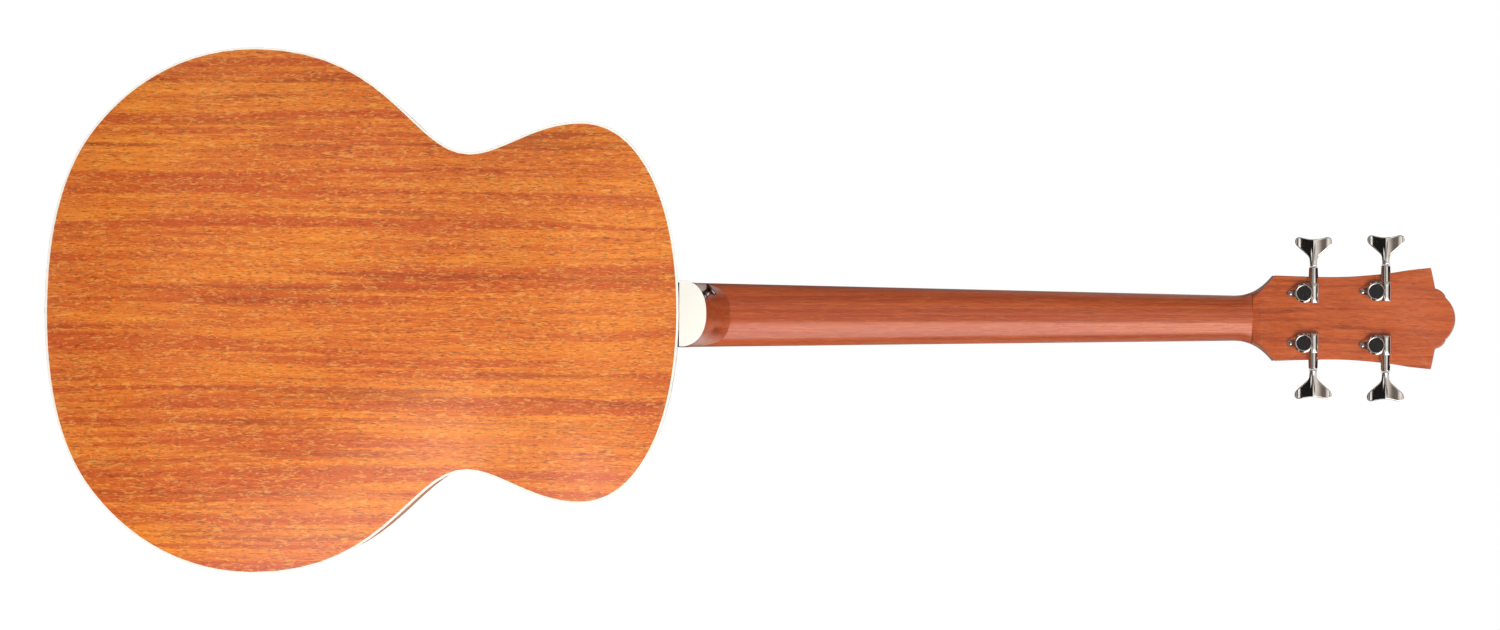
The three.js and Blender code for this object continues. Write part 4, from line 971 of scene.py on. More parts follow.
def black_finish(name, body, roughness=0.12):
    """Gloss black plastic with fine handling marks"""
    made, tree, seats = new_finish(name)
    marks = streaks(tree, seats["Object"], (240, 240, 900), 3.0, 0.45, 0.75)
    cloud = streaks(tree, seats["Object"], (30, 30, 30), 2.0, 0.3, 0.7)
    shaded(tree, {"Base Color": blended(tree, times(tree, cloud, 0.5), body, lit(body, 1.6)),
                  "Roughness": mapped(tree, marks, roughness, roughness + 0.1)})
    return made


def turned(profile, steps=40, looped=False):
    """A piece turned about Z, from radius and height pairs"""
    return skinned([[Vector((radius * math.cos(turn), radius * math.sin(turn), height))
                     for turn in round_turns(steps)] for radius, height in profile], looped=looped, ends=False)


def screw_head(radius, dome):
    """A domed screw head with a cross recess, on the plane Z = 0 and facing up"""
    head = turned(((0, -dome), (radius, -dome), (radius, 0), (0.86 * radius, 0.5 * dome),
                   (0.55 * radius, 0.85 * dome), (0, dome)), 24)
    long, short = cross_length * radius, cross_width * radius
    slots = [block((-x, -y, 0.2 * dome), (x, y, 2 * dome)) for x, y in ((long, short), (short, long))]
    return carved(head, slots)


def placed(piece, matrix):
    """A piece moved by a matrix, with its place put into its mesh"""
    piece.matrix_world = matrix @ piece.matrix_world
    return settled(piece)


steel = metal("drawn_steel", tone(176, 176, 174), 0.26, brushed=(300, 300, 9))
brass = metal("turned_brass", tone(196, 158, 92), 0.24, brushed=(40, 40, 900))
black_gloss = black_finish("black_cover_plastic", tone(22, 21, 21))
refinished(("truss_rod",), steel)
refinished(("truss_rod_nut",), brass)
bell_half = through(bell_shape, 5)
bell = head_plate(bell_half + mirrored(bell_half[:-1]), bell_back, bell_front, 0.0005)
fitted(bell, "bell_cover", black_gloss, stands_for=("truss_rod_cover",))
bell_screws = [placed(screw_head(0.0019, 0.0007), head_frame @ Matrix.Translation((0, up, bell_front)))
               for up in bell_screws_up]
fitted(together(bell_screws), "cover_screws", steel)


# The headstock's face: a 2 mm veneer of dark hardwood glued over the front, its outer edge eased.
def dark_wood(name, deep, light, gloss=0.15, roughness=0.42):
    """Oiled rosewood or ebony: fine dark lines and open pores along the neck"""
    made, tree, seats = new_finish(name)
    place = seats["Object"]
    broad = streaks(tree, place, (70, 70, 3.5), 3.0, 0.35, 0.7)
    fine = streaks(tree, place, (520, 520, 14), 2.0, 0.35, 0.7)
    pores = streaks(tree, place, (1500, 1500, 120), 1.0, 0.58, 0.68, 0.4)
    colour = blended(tree, broad, deep, light)
    colour = blended(tree, times(tree, fine, 0.55), colour, deep)
    colour = blended(tree, times(tree, pores, 0.7), colour, lit(deep, 0.35))
    bump = put(tree, "Bump", {"Height": inverse(tree, pores), "Strength": 0.3, "Distance": 0.0001}).outputs[0]
    shaded(tree, {"Base Color": colour, "Roughness": mapped(tree, fine, roughness, roughness + 0.12),
                  "Normal": bump, "Specular IOR Level": 0.3, "Coat Weight": gloss, "Coat Roughness": 0.2})
    return made


veneer = dark_wood("headstock_veneer", tone(34, 20, 15), tone(66, 40, 28), 0.08, 0.4)
face = head_plate(head_outline((nut_half, -0.0005)), glue_gap, glue_gap + face_thickness, 0.0004)
carved(face, [truss_pocket(), *post_holes(-0.004, 0.006)])
fitted(face, "headstock_veneer_face", veneer, stands_for=("headstock_face",), crease=12)


# The fingerboard: rosewood 6.5 mm thick, arched across to a radius of 406 mm, with 23 nickel silver frets and
# pearl dots let into it, and small dots along its bass edge.
scale_length = 0.781
board_radius, board_ease = 0.406, 0.0004
board_bottom_y = front_y - glue_gap
board_top_y = board_bottom_y - 0.0065
fret_count, octave_fret = 23, 12
fret_width, fret_height, fret_end_gap = 0.0024, 0.0011, 0.0008
fret_sunk, fret_end_length, fret_end_shares = 0.0002, 0.0002, (0.3, 0.8)
dot_frets = (3, 5, 7, 9, 12, 15, 17, 19, 21)
dot_radius, dot_proud, dot_sunk, octave_dot_x = 0.0031, 0.00006, 0.0012, 0.0115
side_dot_radius, side_dot_length, side_dot_seat, octave_dot_shift = 0.0011, 0.0012, 0.00055, 0.006
arch_steps, board_steps = 16, 12


def fret_z(fret):
    """Place of a fret along the neck"""
    return nut_z - scale_length * (1 - 2 ** (-fret / 12))


def arched(x):
    """How far the arched top falls away at x"""
    return board_radius - math.sqrt(board_radius**2 - x**2)


def board_section(z):
    """A section of the fingerboard, with its top edges eased"""
    half = board_half(min(z, nut_z))
    flat = half - board_ease
    top = [Vector((x, board_top_y + arched(x), z)) for x in spread(flat, -flat, arch_steps)]
    corner_y = board_top_y + arched(half) + board_ease
    return [Vector((half, board_bottom_y, z)), Vector((half, corner_y, z)), *top,
            Vector((-half, corner_y, z)), Vector((-half, board_bottom_y, z))]


fingerboard = skinned([board_section(z) for z in spread(board_end_z, nut_z - glue_gap, board_steps)])
rosewood = dark_wood("fingerboard_rosewood", tone(44, 26, 18), tone(82, 50, 34))
fitted(fingerboard, "rosewood_fingerboard", rosewood, stands_for=("fingerboard",))


def fret_bar(fret):
    """One fret: a low crown over the board's arch, its ends rounded down"""
    z, half = fret_z(fret), board_half(fret_z(fret)) - fret_end_gap / 2
    low_end, high_end = fret_end_shares
    stops = [(-half, low_end), (fret_end_length - half, high_end)]
    stops += [(x, 1.0) for x in spread(-half, half, arch_steps)]
    stops += [(half - fret_end_length, high_end), (half, low_end)]
    sections = []
    for x, end in stops:
        foot, tall = board_top_y + arched(x) + fret_sunk, fret_height * end + fret_sunk
        sections.append([Vector((x, foot - tall * math.sin(turn)**0.8, z + math.cos(turn) * fret_width / 2))
                         for turn in spread(0, math.pi, 8)])
    return skinned(sections)


frets = together([fret_bar(fret) for fret in range(1, fret_count + 1)])
fitted(frets, "nickel_silver_frets", metal("nickel_silver", tone(188, 184, 172), 0.18, brushed=(900, 60, 60)))


def dot(x, z):
    """A pearl dot flush with the arched board"""
    top = board_top_y + arched(x)
    return flat_plate(round_points(dot_radius, Vector((x, z)), 28), top + dot_sunk, top - dot_proud, 0.0002, 2)


def dot_middles(gap):
    """Half-way between the frets: no shift at most places, and one either way at the octave"""
    for fret in dot_frets:
        middle_z = (fret_z(fret) + fret_z(fret - 1)) / 2
        for shift in ((-gap, gap) if fret == octave_fret else (0,)):
            yield shift, middle_z


def side_dot(z, middle_z):
    """A dot in the bass edge of the board"""
    place = (-board_half(middle_z) + side_dot_seat, (board_top_y + board_bottom_y) / 2, z)
    return settled(peg(side_dot_radius, side_dot_length, place, (0, math.pi / 2, 0), 20))


pearl = trim_finish("pearl_dots", tone(236, 236, 230), tone(196, 206, 206), 0.16)
dots = [dot(x, z) for x, z in dot_middles(octave_dot_x)]
fitted(together(dots), "pearl_position_dots", pearl)
side_dots = [side_dot(z + shift, z) for shift, z in dot_middles(octave_dot_shift)]
fitted(together(side_dots), "side_dots", pearl)


# The nut: a bar of bone glued across the end of the fingerboard, with a round slot for each string. Its top
# falls away towards the headstock.
string_gap_at_nut = 0.0097
nut_string_rise = 0.0017
nut_slot_length = 0.008
nut_low, nut_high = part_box("nut")
nut_profile = ((0, 0), (0, 0.93), (0.03, 0.985), (0.1, 1), (0.35, 1), (0.7, 0.94), (0.93, 0.84), (0.985, 0.79),
               (1, 0.73), (1, 0))
nut_ends = ((-1, 0.0, 0.0002), (-1, 0.0002, 0.0), (1, 0.0002, 0.0), (1, 0.0, 0.0002))


def nut_section(side, inset, drop):
    """A section of the nut near one end, drawn in a little where its end edges are eased"""
    height, depth = nut_high.y - nut_low.y - drop, nut_high.z - nut_low.z - 2 * drop
    return [Vector((side * (nut_high.x - inset), nut_high.y - tall * height, nut_low.z + drop + deep * depth))
            for deep, tall in nut_profile]


def nut_slot(number, diameter):
    """A cutter for one string's slot in the nut"""
    slot_y = board_top_y - nut_string_rise - diameter / 2
    place = (string_x(number, string_gap_at_nut), slot_y, (nut_low.z + nut_high.z) / 2)
    return settled(peg(diameter / 2 + plate_gap, nut_slot_length, place))


nut = skinned([nut_section(*end) for end in nut_ends])
bone = trim_finish("polished_bone", tone(238, 232, 214), tone(214, 198, 166), 0.22)
carved(nut, [nut_slot(number, diameter) for number, diameter in enumerate(string_diameters)])
fitted(nut, "bone_nut", bone, stands_for=("nut",))


# The pickguard: black plastic 1.2 mm thick, glued to the soundboard beside the soundhole, its edge bevelled.
guard_low, guard_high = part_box("pickguard")
guard_radius = hole_radius + 0.012
guard_turns = (math.radians(62), math.radians(-78))
guard_steps = 36
guard_shares = ((2.05, -1.62), (2.3, -1.25), (2.32, -0.75), (2.16, -0.2), (1.92, 0.35), (1.62, 0.85),
                (1.25, 1.2))
guard_inner = [hole_middle + guard_radius * Vector((math.cos(turn), math.sin(turn)))
               for turn in spread(*guard_turns, guard_steps)]
guard_outer = through([hole_middle + hole_radius * Vector(pair) for pair in guard_shares], 6)
guard = flat_plate(guard_inner + guard_outer, guard_high.y, guard_low.y, 0.0006, 2)
fitted(guard, "black_pickguard", black_finish("pickguard_plastic", tone(18, 17, 17), 0.1),
       stands_for=("pickguard",), crease=20)


# The bridge: rosewood, glued to the soundboard over the hard plate, thick in the middle and scooped down to
# thin wings, with every upper edge rounded.
bridge_low, bridge_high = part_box("bridge")
bridge_half = bridge_high.x
bridge_middle_z = (bridge_low.z + bridge_high.z) / 2
bridge_reach = (bridge_high.z - bridge_low.z) / 2
bridge_height = bridge_high.y - bridge_low.y
wing_height, wing_tip_height = 0.0054, 0.0044
scoop = (0.5, 0.66)
bridge_round = 0.0011
tip_drop, tip_start, tip_run = 0.0009, 0.985, 0.015
neck_side_shares = ((0, 1), (0.46, 1), (0.56, 0.86), (0.64, 0.6), (0.8, 0.48), (0.98, 0.42), (1, 0.25))
tail_side_shares = ((0, 1), (0.28, 1), (0.5, 0.86), (0.8, 0.5), (0.98, 0.42), (1, 0.25))
neck_line, tail_line = (through([Vector(pair) for pair in shares], 8)
                        for shares in (neck_side_shares, tail_side_shares))
bridge_stations = spread(0, 1, 72)[:-1] + [0.993, 0.998, 1.0]
corner_turns = spread(0, math.pi / 2, 4)


def level_at(line, along):
    """Level of a line of points at one place along it"""
    for start, end in zip(line, line[1:]):
        if start.x <= along <= end.x and end.x > start.x:
            return min(1.0, start.y + (end.y - start.y) * (along - start.x) / (end.x - start.x))
    return line[-1].y


def eased(share):
    """A share from 0 to 1 that starts and ends gently"""
    share = max(0.0, min(1.0, share))
    return share * share * (3 - 2 * share)


def bridge_section(along):
    """A section of the bridge across its depth, at a share of the way out to its tip"""
    share = abs(along)
    wing = wing_height + (wing_tip_height - wing_height) * max(0.0, (share - scoop[1]) / (1 - scoop[1]))
    height = bridge_height + (wing - bridge_height) * eased((share - scoop[0]) / (scoop[1] - scoop[0]))
    height -= tip_drop * eased((share - tip_start) / tip_run)
    high = bridge_middle_z + bridge_reach * level_at(neck_line, share)
    low = bridge_middle_z - bridge_reach * level_at(tail_line, share)
    points = [(low, 0)]
    points += [(low + bridge_round * (1 - math.cos(turn)), height - bridge_round * (1 - math.sin(turn)))
               for turn in corner_turns]
    points += [(high - bridge_round * (1 - math.sin(turn)), height - bridge_round * (1 - math.cos(turn)))
               for turn in corner_turns]
    points += [(high, 0)]
    return [Vector((along * bridge_half, bridge_high.y - tall, z)) for z, tall in points]


bridge = skinned([bridge_section(-share) for share in reversed(bridge_stations[1:])]
                 + [bridge_section(share) for share in bridge_stations])
saddle_low, saddle_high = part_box("saddle")
saddle_slot = block((saddle_low.x - plate_gap, bridge_low.y - overcut, saddle_low.z - plate_gap),
                    (saddle_high.x + plate_gap, saddle_high.y + glue_gap, saddle_high.z + plate_gap))
carved(bridge, [saddle_slot, *pin_holes(bridge_low.y - overcut, bridge_high.y + overcut)])
bridge_wood = dark_wood("bridge_rosewood", tone(52, 30, 20), tone(96, 60, 40))
fitted(bridge, "rosewood_bridge", bridge_wood, stands_for=("bridge",))


# The saddle: a bone bar standing in the bridge's slot, its top rounded over where the strings lie, its ends
# sloping down.
saddle_profile = ((0, 0), (0, 0.86), (0.08, 0.93), (0.22, 0.98), (0.42, 1), (0.58, 1), (0.78, 0.98),
                  (0.92, 0.93), (1, 0.86), (1, 0))
saddle_ends = ((0.0, 0.0012), (0.0008, 0.0006), (0.0022, 0.0002), (0.004, 0.0))


def saddle_section(x, drop):
    """A section of the saddle at x, with its top lowered near an end"""
    height = saddle_high.y - saddle_low.y - drop
    return [Vector((x, saddle_high.y - tall * height, saddle_low.z + deep * (saddle_high.z - saddle_low.z)))
            for deep, tall in saddle_profile]


saddle = skinned([saddle_section(saddle_low.x + inset, drop) for inset, drop in saddle_ends]
                 + [saddle_section(saddle_high.x - inset, drop) for inset, drop in reversed(saddle_ends)])
fitted(saddle, "bone_saddle", bone, stands_for=("saddle",))


# The bridge pins: turned bone pegs with a domed head and a dark dot, grooved on the saddle's side for the
# string. They press each string's ball against the plate inside.
pin_head_radius, pin_head_height = 0.0038, 0.0035
pin_length, pin_tip_share, pin_end_share = 0.0145, 0.85, 0.7
pin_top_y = bridge_low.y
pin_profile = ((0, -1), (0.3, -0.985), (0.55, -0.92), (0.8, -0.75), (0.95, -0.52), (1, -0.38), (0.98, -0.25),
               (0.88, -0.1), (0.84, -0.02))
pin_shape = [(radius * pin_head_radius, height * pin_head_height) for radius, height in pin_profile]
pin_shape += [(pin_radius, 0), (pin_radius, 0.002), (pin_radius * pin_tip_share, pin_length - 0.0008),
              (pin_radius * pin_end_share, pin_length), (0, pin_length)]
groove_front_y, groove_back_y, mouth_reach = pin_top_y - 0.01, pin_top_y + 0.02, 0.006
pin_dot_radius, pin_dot_seat = 0.0013, 0.00002
pin_dot_profile = ((0, 0.00008), (0.8 * pin_dot_radius, 0.00008), (pin_dot_radius, 0),
                   (pin_dot_radius, -0.0006), (0, -0.0006))


def towards(place, toward):
    """A frame at a place whose Z axis points one way"""
    return Matrix.Translation(place) @ Vector(toward).to_track_quat("Z", "Y").to_matrix().to_4x4()


pin_dots = []
for number, diameter in enumerate(string_diameters):
    place = Vector((string_x(number, string_gap_at_pins), pin_top_y, pin_z))
    pin = placed(turned(pin_shape), towards(place, (0, 1, 0)))
    slot_z, half = string_hole_z(diameter), diameter / 2 + plate_gap
    groove = upright(half, place.x, slot_z, groove_front_y, groove_back_y)
    mouth = block((place.x - half, groove_front_y, slot_z),
                  (place.x + half, groove_back_y, pin_z + mouth_reach))
    fitted(carved(pin, [groove, mouth]), f"bone_pin_{number + 1}", bone,
           stands_for=(f"bridge_pin_{number + 1}",))
    dot_place = place - Vector((0, pin_head_height - pin_dot_seat, 0))
    pin_dots.append(placed(turned(pin_dot_profile, 24), towards(dot_place, (0, -1, 0))))
fitted(together(pin_dots), "pin_dots", black_gloss)


# The strap buttons: turned metal mushrooms, each held by a screw through its middle. One is on the tail, and
# one on the treble side of the heel.
button_cap_radius, button_neck_radius, button_base_radius = 0.0062, 0.0029, 0.0046
tail_button_low, tail_button_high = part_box("strap_button_tail")
tail_button_height, heel_button_height = tail_button_high.z - tail_button_low.z, 0.0102
heel_button_lean, heel_button_turn = math.radians(38), math.radians(60.5)
heel_button_share, heel_button_seat, heel_base_share = 0.36, 0.0006, 0.8
button_screw_share, button_screw_dome, button_screw_seat = 0.34, 0.0005, 0.0008


def strap_button(height, base_radius):
    """A strap button standing on its base, facing up along Z, with its screw"""
    cap, wide = 0.35 * button_cap_radius, button_cap_radius
    profile = ((0, 0.0008), (0.36 * wide, 0.0008), (0.46 * wide, 0.0003), (0.52 * wide, 0), (0.84 * wide, 0),
               (0.93 * wide, 0.04 * cap), (0.98 * wide, 0.18 * cap), (wide, 0.42 * cap), (wide, 0.7 * cap),
               (0.96 * wide, 0.92 * cap), (0.8 * wide, 1.2 * cap), (0.62 * wide, 1.5 * cap),
               (1.15 * button_neck_radius, 1.8 * cap), (button_neck_radius, 0.55 * height),
               (1.04 * button_neck_radius, 0.68 * height), (1.22 * button_neck_radius, 0.78 * height),
               (0.92 * base_radius, 0.86 * height), (base_radius, 0.92 * height), (base_radius, height),
               (0, height))
    body = turned([(radius, height - level) for radius, level in profile], 56)
    screw = placed(screw_head(button_screw_share * wide, button_screw_dome),
                   Matrix.Translation((0, 0, height - button_screw_seat)))
    return together([body, screw])


nickel = metal("polished_nickel", tone(238, 234, 230), 0.06, wear=0.5)
dark_chrome = metal("dark_chrome", tone(112, 100, 100), 0.1, wear=0.5)
tail_button = placed(strap_button(tail_button_height, button_base_radius),
                     towards((0, 0, tail_button_height), (0, 0, -1)))
fitted(tail_button, "tail_strap_button", dark_chrome, stands_for=("strap_button_tail",))
outwards = Vector((math.sin(heel_button_lean), 0, math.cos(heel_button_lean)))
on_heel = Vector((heel_half * fuller(math.cos(heel_button_turn)), heel_button_share * heel_cap_y,
                  shaft_start_z + heel_reach * fuller(math.sin(heel_button_turn))))
heel_button = placed(strap_button(heel_button_height, heel_base_share * button_base_radius),
                     towards(on_heel + (plate_gap - heel_button_seat) * outwards, outwards))
fitted(heel_button, "heel_strap_button", dark_chrome, stands_for=("strap_button_heel",))


# The tuning machines: on each, a cast housing with a round can and a worm tunnel, a cover with a bright rim
# round a dark inlay, a turned key on the worm, and a slotted post that comes out through a bushing in front.
can_radius, can_height = 0.0079, 0.0092
cover_radius, cover_seat = 0.0072, 0.0081
gear_centres, gear_level = 0.0075, -0.0055
tunnel_radius, tunnel_half, barrel_end, barrel_end_radius = 0.0044, 0.0079, 0.0212, 0.0036
block_height = 0.0076
ear_sections = ((-0.005, 0.0062, 0.0036, 0.0058), (-0.0085, 0.0047, 0.003, 0.0046),
                (-0.0112, 0.0037, 0.0025, 0.0036), (-0.0134, 0.0027, 0.0016, 0.0027),
                (-0.0144, 0.0015, 0.0007, 0.0018))
ear_screw_along, ear_screw_level, ear_screw_sunk = 0.0116, 0.0029, 0.0001
worm_axis = Vector((0, gear_centres, gear_level))


def rod(radius, low, high, steps=32):
    """A plain round solid about Z, between two heights"""
    return turned(((0, low), (radius, low), (radius, high), (0, high)), steps)


def in_ear(depth):
    """The frame of the ear's screw, at a depth below the back of the headstock, facing out of it"""
    return Matrix.Translation((0, -ear_screw_along, -depth)) @ Matrix.Rotation(math.pi, 4, "X")


def along_key(piece, x=0.0):
    """A piece turned about Z, laid along the worm's axis"""
    at_worm = Matrix.Translation(worm_axis + Vector((x, 0, 0)))
    return placed(piece, at_worm @ Matrix.Rotation(math.pi / 2, 4, "Y"))


def facing_back(piece):
    """A piece turned about Z, with its heights measured out of the back of the headstock"""
    return placed(piece, Matrix.Rotation(math.pi, 4, "X"))


def machine_sets(master, name, finish, body="root", node="", crease=35):
    """Four copies of a machine's piece, each in its machine's place; those on the bass side are mirrored"""
    for number, side, across, up in tuner_places:
        piece = master.copy()
        piece.data = master.data.copy()
        bpy.context.collection.objects.link(piece)
        placed(piece, head_frame @ Matrix.Translation((side * across, up, -head_thickness))
               @ Matrix.Diagonal((side, 1, 1, 1)))
        with on_bench(piece):
            face_outwards()
        fitted(piece, f"{name}_{number}", finish, f"{body}_{number}" if body != "root" else body,
               (f"{node}_{number}",) if node else (), crease)
    bpy.data.objects.remove(master)


def block_outline(inset):
    """The housing's plan: half round about the can, then square over the worm tunnel"""
    half, deep = tunnel_half - inset, gear_centres + tunnel_radius - inset
    round_end = [Vector((half * math.cos(turn), -half * math.sin(turn))) for turn in spread(math.pi, 0, 24)]
    return [Vector((-half, deep)), *round_end, Vector((half, deep))]


housing = skinned([[Vector((p.x, p.y, -level)) for p in block_outline(inset)] for inset, level in (
    (0, glue_gap), (0, block_height - 0.0007), (0.0002, block_height - 0.00025), (0.0007, block_height))])
can = facing_back(turned((
    (0, glue_gap), (can_radius, glue_gap), (can_radius, can_height - 0.0007),
    (can_radius - 0.00015, can_height - 0.0003), (can_radius - 0.0005, can_height - 0.0001),
    (0, can_height - 0.0001)), 72))
tunnel_turns = [math.radians(turn) for turn in (
    -90, -75, -60, -48, -36, -24, -12, -4, 2, 30, 40, 52, 64, 76, 90)]


def tunnel_section(x, inset):
    """The tunnel's section: an arch over the worm with one long flat facet, down to the foot"""
    radius = tunnel_radius - inset
    arch = [Vector((x, gear_centres + radius * math.sin(turn), gear_level - radius * math.cos(turn)))
            for turn in tunnel_turns]
    feet = [Vector((x, gear_centres + end, -glue_gap)) for end in (-radius, radius)]
    return [feet[0], *arch, feet[1]]


tunnel = skinned([tunnel_section(x, inset) for x, inset in (
    (-tunnel_half - 0.0001, 0.0005), (-tunnel_half + 0.0001, 0.00015), (-tunnel_half + 0.0005, 0.0),
    (tunnel_half - 0.0004, 0.0), (tunnel_half, 0.00015), (tunnel_half + 0.0002, 0.0005))])
barrel = along_key(turned((
    (0, 0.004), (0.0041, 0.004), (0.0041, tunnel_half + 0.0008),
    (barrel_end_radius + 0.0001, barrel_end - 0.0012), (barrel_end_radius, barrel_end - 0.0005),
    (barrel_end_radius - 0.0004, barrel_end), (0, barrel_end)), 48))
ear = skinned([[Vector(corner) for corner in (
    (-wide, along, -glue_gap), (-wide, along, -0.45 * tall), (-narrow, along, -tall), (narrow, along, -tall),
    (wide, along, -0.45 * tall), (wide, along, -glue_gap))] for along, wide, narrow, tall in ear_sections])
carved(housing, [can, tunnel, barrel, ear], "UNION")
hollows = [facing_back(rod(*measures, 40)) for measures in (
    (0.0059, 0.0023, 0.0088), (cover_radius + plate_gap, 0.0078, 0.0102), (0.0052, -0.001, 0.003))]
hollows += [along_key(rod(*measures)) for measures in ((0.0033, -0.0063, 0.006), (0.002, 0.005, 0.0222))]
screw_seat = placed(rod(0.0024, 0, 0.006), in_ear(ear_screw_level))
carved(housing, [*hollows, screw_seat])
machine_sets(housing, "machine_housing", nickel, node="tuner_housing", crease=28)
ear_screw = placed(screw_head(0.0021, 0.0008), in_ear(ear_screw_level + ear_screw_sunk))
machine_sets(ear_screw, "machine_screw", nickel)

# The cover, hollowed for the worm, and its inlay
cover_profile = ((0, cover_seat), (cover_radius, cover_seat), (cover_radius, 0.00885), (0.00712, 0.00902),
                 (0.00695, 0.00913), (0.0067, 0.0092), (0.0064, 0.0092), (0.00615, 0.00914), (0.006, 0.00903),
                 (0.00592, 0.00885), (0.0059, 0.00865), (0, 0.00865))
cover = facing_back(turned(cover_profile, 72))
carved(cover, [along_key(rod(0.0031, -0.0063, 0.0063))])
machine_sets(cover, "machine_cover", nickel, node="tuner_cap")
inlay_profile = ((0, 0.00868), (0.00585, 0.00868), (0.00585, 0.0088), (0.00575, 0.00888), (0, 0.00888))
inlay = facing_back(turned(inlay_profile, 64))
machine_sets(inlay, "cover_inlay", black_finish("cover_enamel", tone(34, 30, 30), 0.2))

# The key: two lobes swept from a middle ridge, on a round stem that ends in the worm
key_start, key_length, key_half = 0.0227, 0.0236, 0.0151
key_outer_shares = ((0, 0.924), (0.2, 0.93), (0.45, 0.958), (0.62, 0.985), (0.76, 1), (0.87, 0.99),
                    (0.95, 0.95), (0.985, 0.905), (1, 0.85))
key_inner_shares = ((0, 0), (0.165, 0.0), (0.19, 0.2), (0.27, 0.32), (0.42, 0.42), (0.63, 0.54),
                    (0.85, 0.665), (0.94, 0.73), (0.985, 0.79), (1, 0.85))
key_slopes = ((0, 2), (0.06, 4), (0.4, 6), (0.62, 7.4), (0.72, 9.6), (0.8, 12), (0.85, 14.5))
key_ridge = 0.0025
cad_weld = 1e-6
key_steps, slope_steps, slope_end = 60, 24, 0.88
outer_line, inner_line = (through([Vector(pair) for pair in shares], 6)
                          for shares in (key_outer_shares, key_inner_shares))
slope_line = [Vector((share, math.tan(math.radians(turn)))) for share, turn in key_slopes]


def lobe_thickness(share):
    """Half the key's thickness at a share of the way from the ridge to a tip"""
    drop, reach = 0.0, min(share, slope_end)
    for step in range(slope_steps):
        drop += level_at(slope_line, (step + 0.5) / slope_steps * reach) * key_half * reach / slope_steps
    return (key_ridge - drop) * math.sqrt(max(0.02, 1 - max(0.0, (share - 0.86) / 0.14) ** 2))


def key_section(share):
    """A section of the thumb piece along the key, at a share of the way out to a lobe's tip"""
    away = abs(share)
    start, end = (key_start + key_length * level_at(line, away) for line in (inner_line, outer_line))
    thick = lobe_thickness(away)
    round_in = min(thick, 0.0009, (end - start) / 2 * 0.98)
    curve = [(round_in * (1 - math.cos(turn)), thick - round_in * (1 - math.sin(turn)))
             for turn in corner_turns]
    curve.append((round_in + min(0.0002, (end - start) / 2 - round_in), thick))
    half = [(start + x, z) for x, z in curve] + [(end - x, z) for x, z in reversed(curve)]
    y = gear_centres + share * key_half
    return [Vector((x, y, gear_level + z)) for x, z in [(x, -z) for x, z in half] + half[::-1]]


thumb_shares = [math.sin(math.pi / 2 * step / key_steps) for step in range(-key_steps, key_steps + 1)]
thumb = skinned([key_section(share) for share in thumb_shares])
stem_profile = ((0, 0), (0.0029, 0), (0.003, 0.0004), (0.0028, 0.0012), (0.0026, 0.004), (0.0018, 0.0085),
                (0.001, 0.012), (0, 0.0125))
stem = along_key(turned([(radius, key_start + along) for radius, along in stem_profile], 40))
carved(thumb, [stem], "UNION")


def kept_part(node, middle, normal):
    """The part of a machine's CAD piece on one side of a plane, in the first treble machine's own frame"""
    number, side, across, up = tuner_places[2]
    source = frame["nodes"][f"{node}_{number}"]
    piece = source.copy()
    piece.data = source.data.copy()
    bpy.context.collection.objects.link(piece)
    piece.parent = None
    for label in [label for label in piece.keys() if label.startswith("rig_")]:
        del piece[label]
    placed(piece, (head_frame @ Matrix.Translation((side * across, up, -head_thickness))).inverted())
    with on_bench(piece):
        bpy.ops.mesh.remove_doubles(threshold=cad_weld)
        bpy.ops.mesh.bisect(plane_co=middle, plane_no=normal, use_fill=True, clear_outer=True)
        face_outwards()
    return piece


worm = kept_part("tuner_key", (barrel_end - 0.001, 0, 0), (1, 0, 0))
shaft = along_key(rod(0.0017, barrel_end - 0.002, key_start + 0.002, 24))
key = together([thumb, worm, shaft])
machine_sets(key, "machine_key", nickel, "key", "tuner_key", crease=24)
washer_profile = ((0.0021, 0.0003), (0.0032, 0.0003), (0.0034, 0.00045), (0.0034, 0.0009), (0.0032, 0.0011),
                  (0.0021, 0.0011))
washer = along_key(turned(washer_profile, looped=True), barrel_end)
nylon = trim_finish("pale_nylon", tone(222, 216, 226), tone(190, 182, 196), 0.35)
machine_sets(washer, "key_washer", nylon, "key", "tuner_washer")

# The post and its bushing
post_radius, post_waist_radius, post_rise = 0.0046, 0.00438, 0.02
board_front = head_thickness + glue_gap + face_thickness
bushing_front = board_front + glue_gap + 0.0016
post_top = board_front + post_rise
waist_low, waist_high = bushing_front + 0.0016, post_top - 0.24 * post_rise
slot_half, slot_depth, slot_clear = 0.0016, 0.27 * post_rise, 0.002
post_profile = ((0, 0.0), (post_radius, 0.0), (post_radius, waist_low - 0.0008),
                (post_waist_radius + 0.0001, waist_low - 0.0001), (post_waist_radius, waist_low + 0.0003),
                (post_waist_radius, waist_high - 0.0003), (post_waist_radius + 0.0001, waist_high + 0.0002),
                (post_radius, waist_high + 0.0009), (post_radius, post_top - 0.0011),
                (0.97 * post_radius, post_top - 0.0006), (0.9 * post_radius, post_top - 0.0002),
                (0.8 * post_radius, post_top), (0, post_top))
post = turned(post_profile, 56)
carved(post, [block((-slot_half, -0.02, post_top - slot_depth), (slot_half, 0.02, post_top + slot_clear))])
wheel = kept_part("tuner_post", (0, 0, 0.0002), (0, 0, 1))
machine_sets(together([post, wheel]), "machine_post", nickel, "post", "tuner_post", crease=28)
bushing_profile = ((0.0049, board_front - 0.01), (0.006, board_front - 0.01), (0.006, board_front + glue_gap),
                   (0.0079, board_front + glue_gap), (0.008, board_front + 0.0005),
                   (0.008, board_front + 0.001), (0.0078, board_front + 0.0014),
                   (0.0073, bushing_front - 0.0001), (0.0068, bushing_front), (0.0051, bushing_front),
                   (0.0049, bushing_front - 0.0003))
bushing = turned(bushing_profile, 56, looped=True)
machine_sets(bushing, "post_bushing", nickel, node="tuner_bushing")


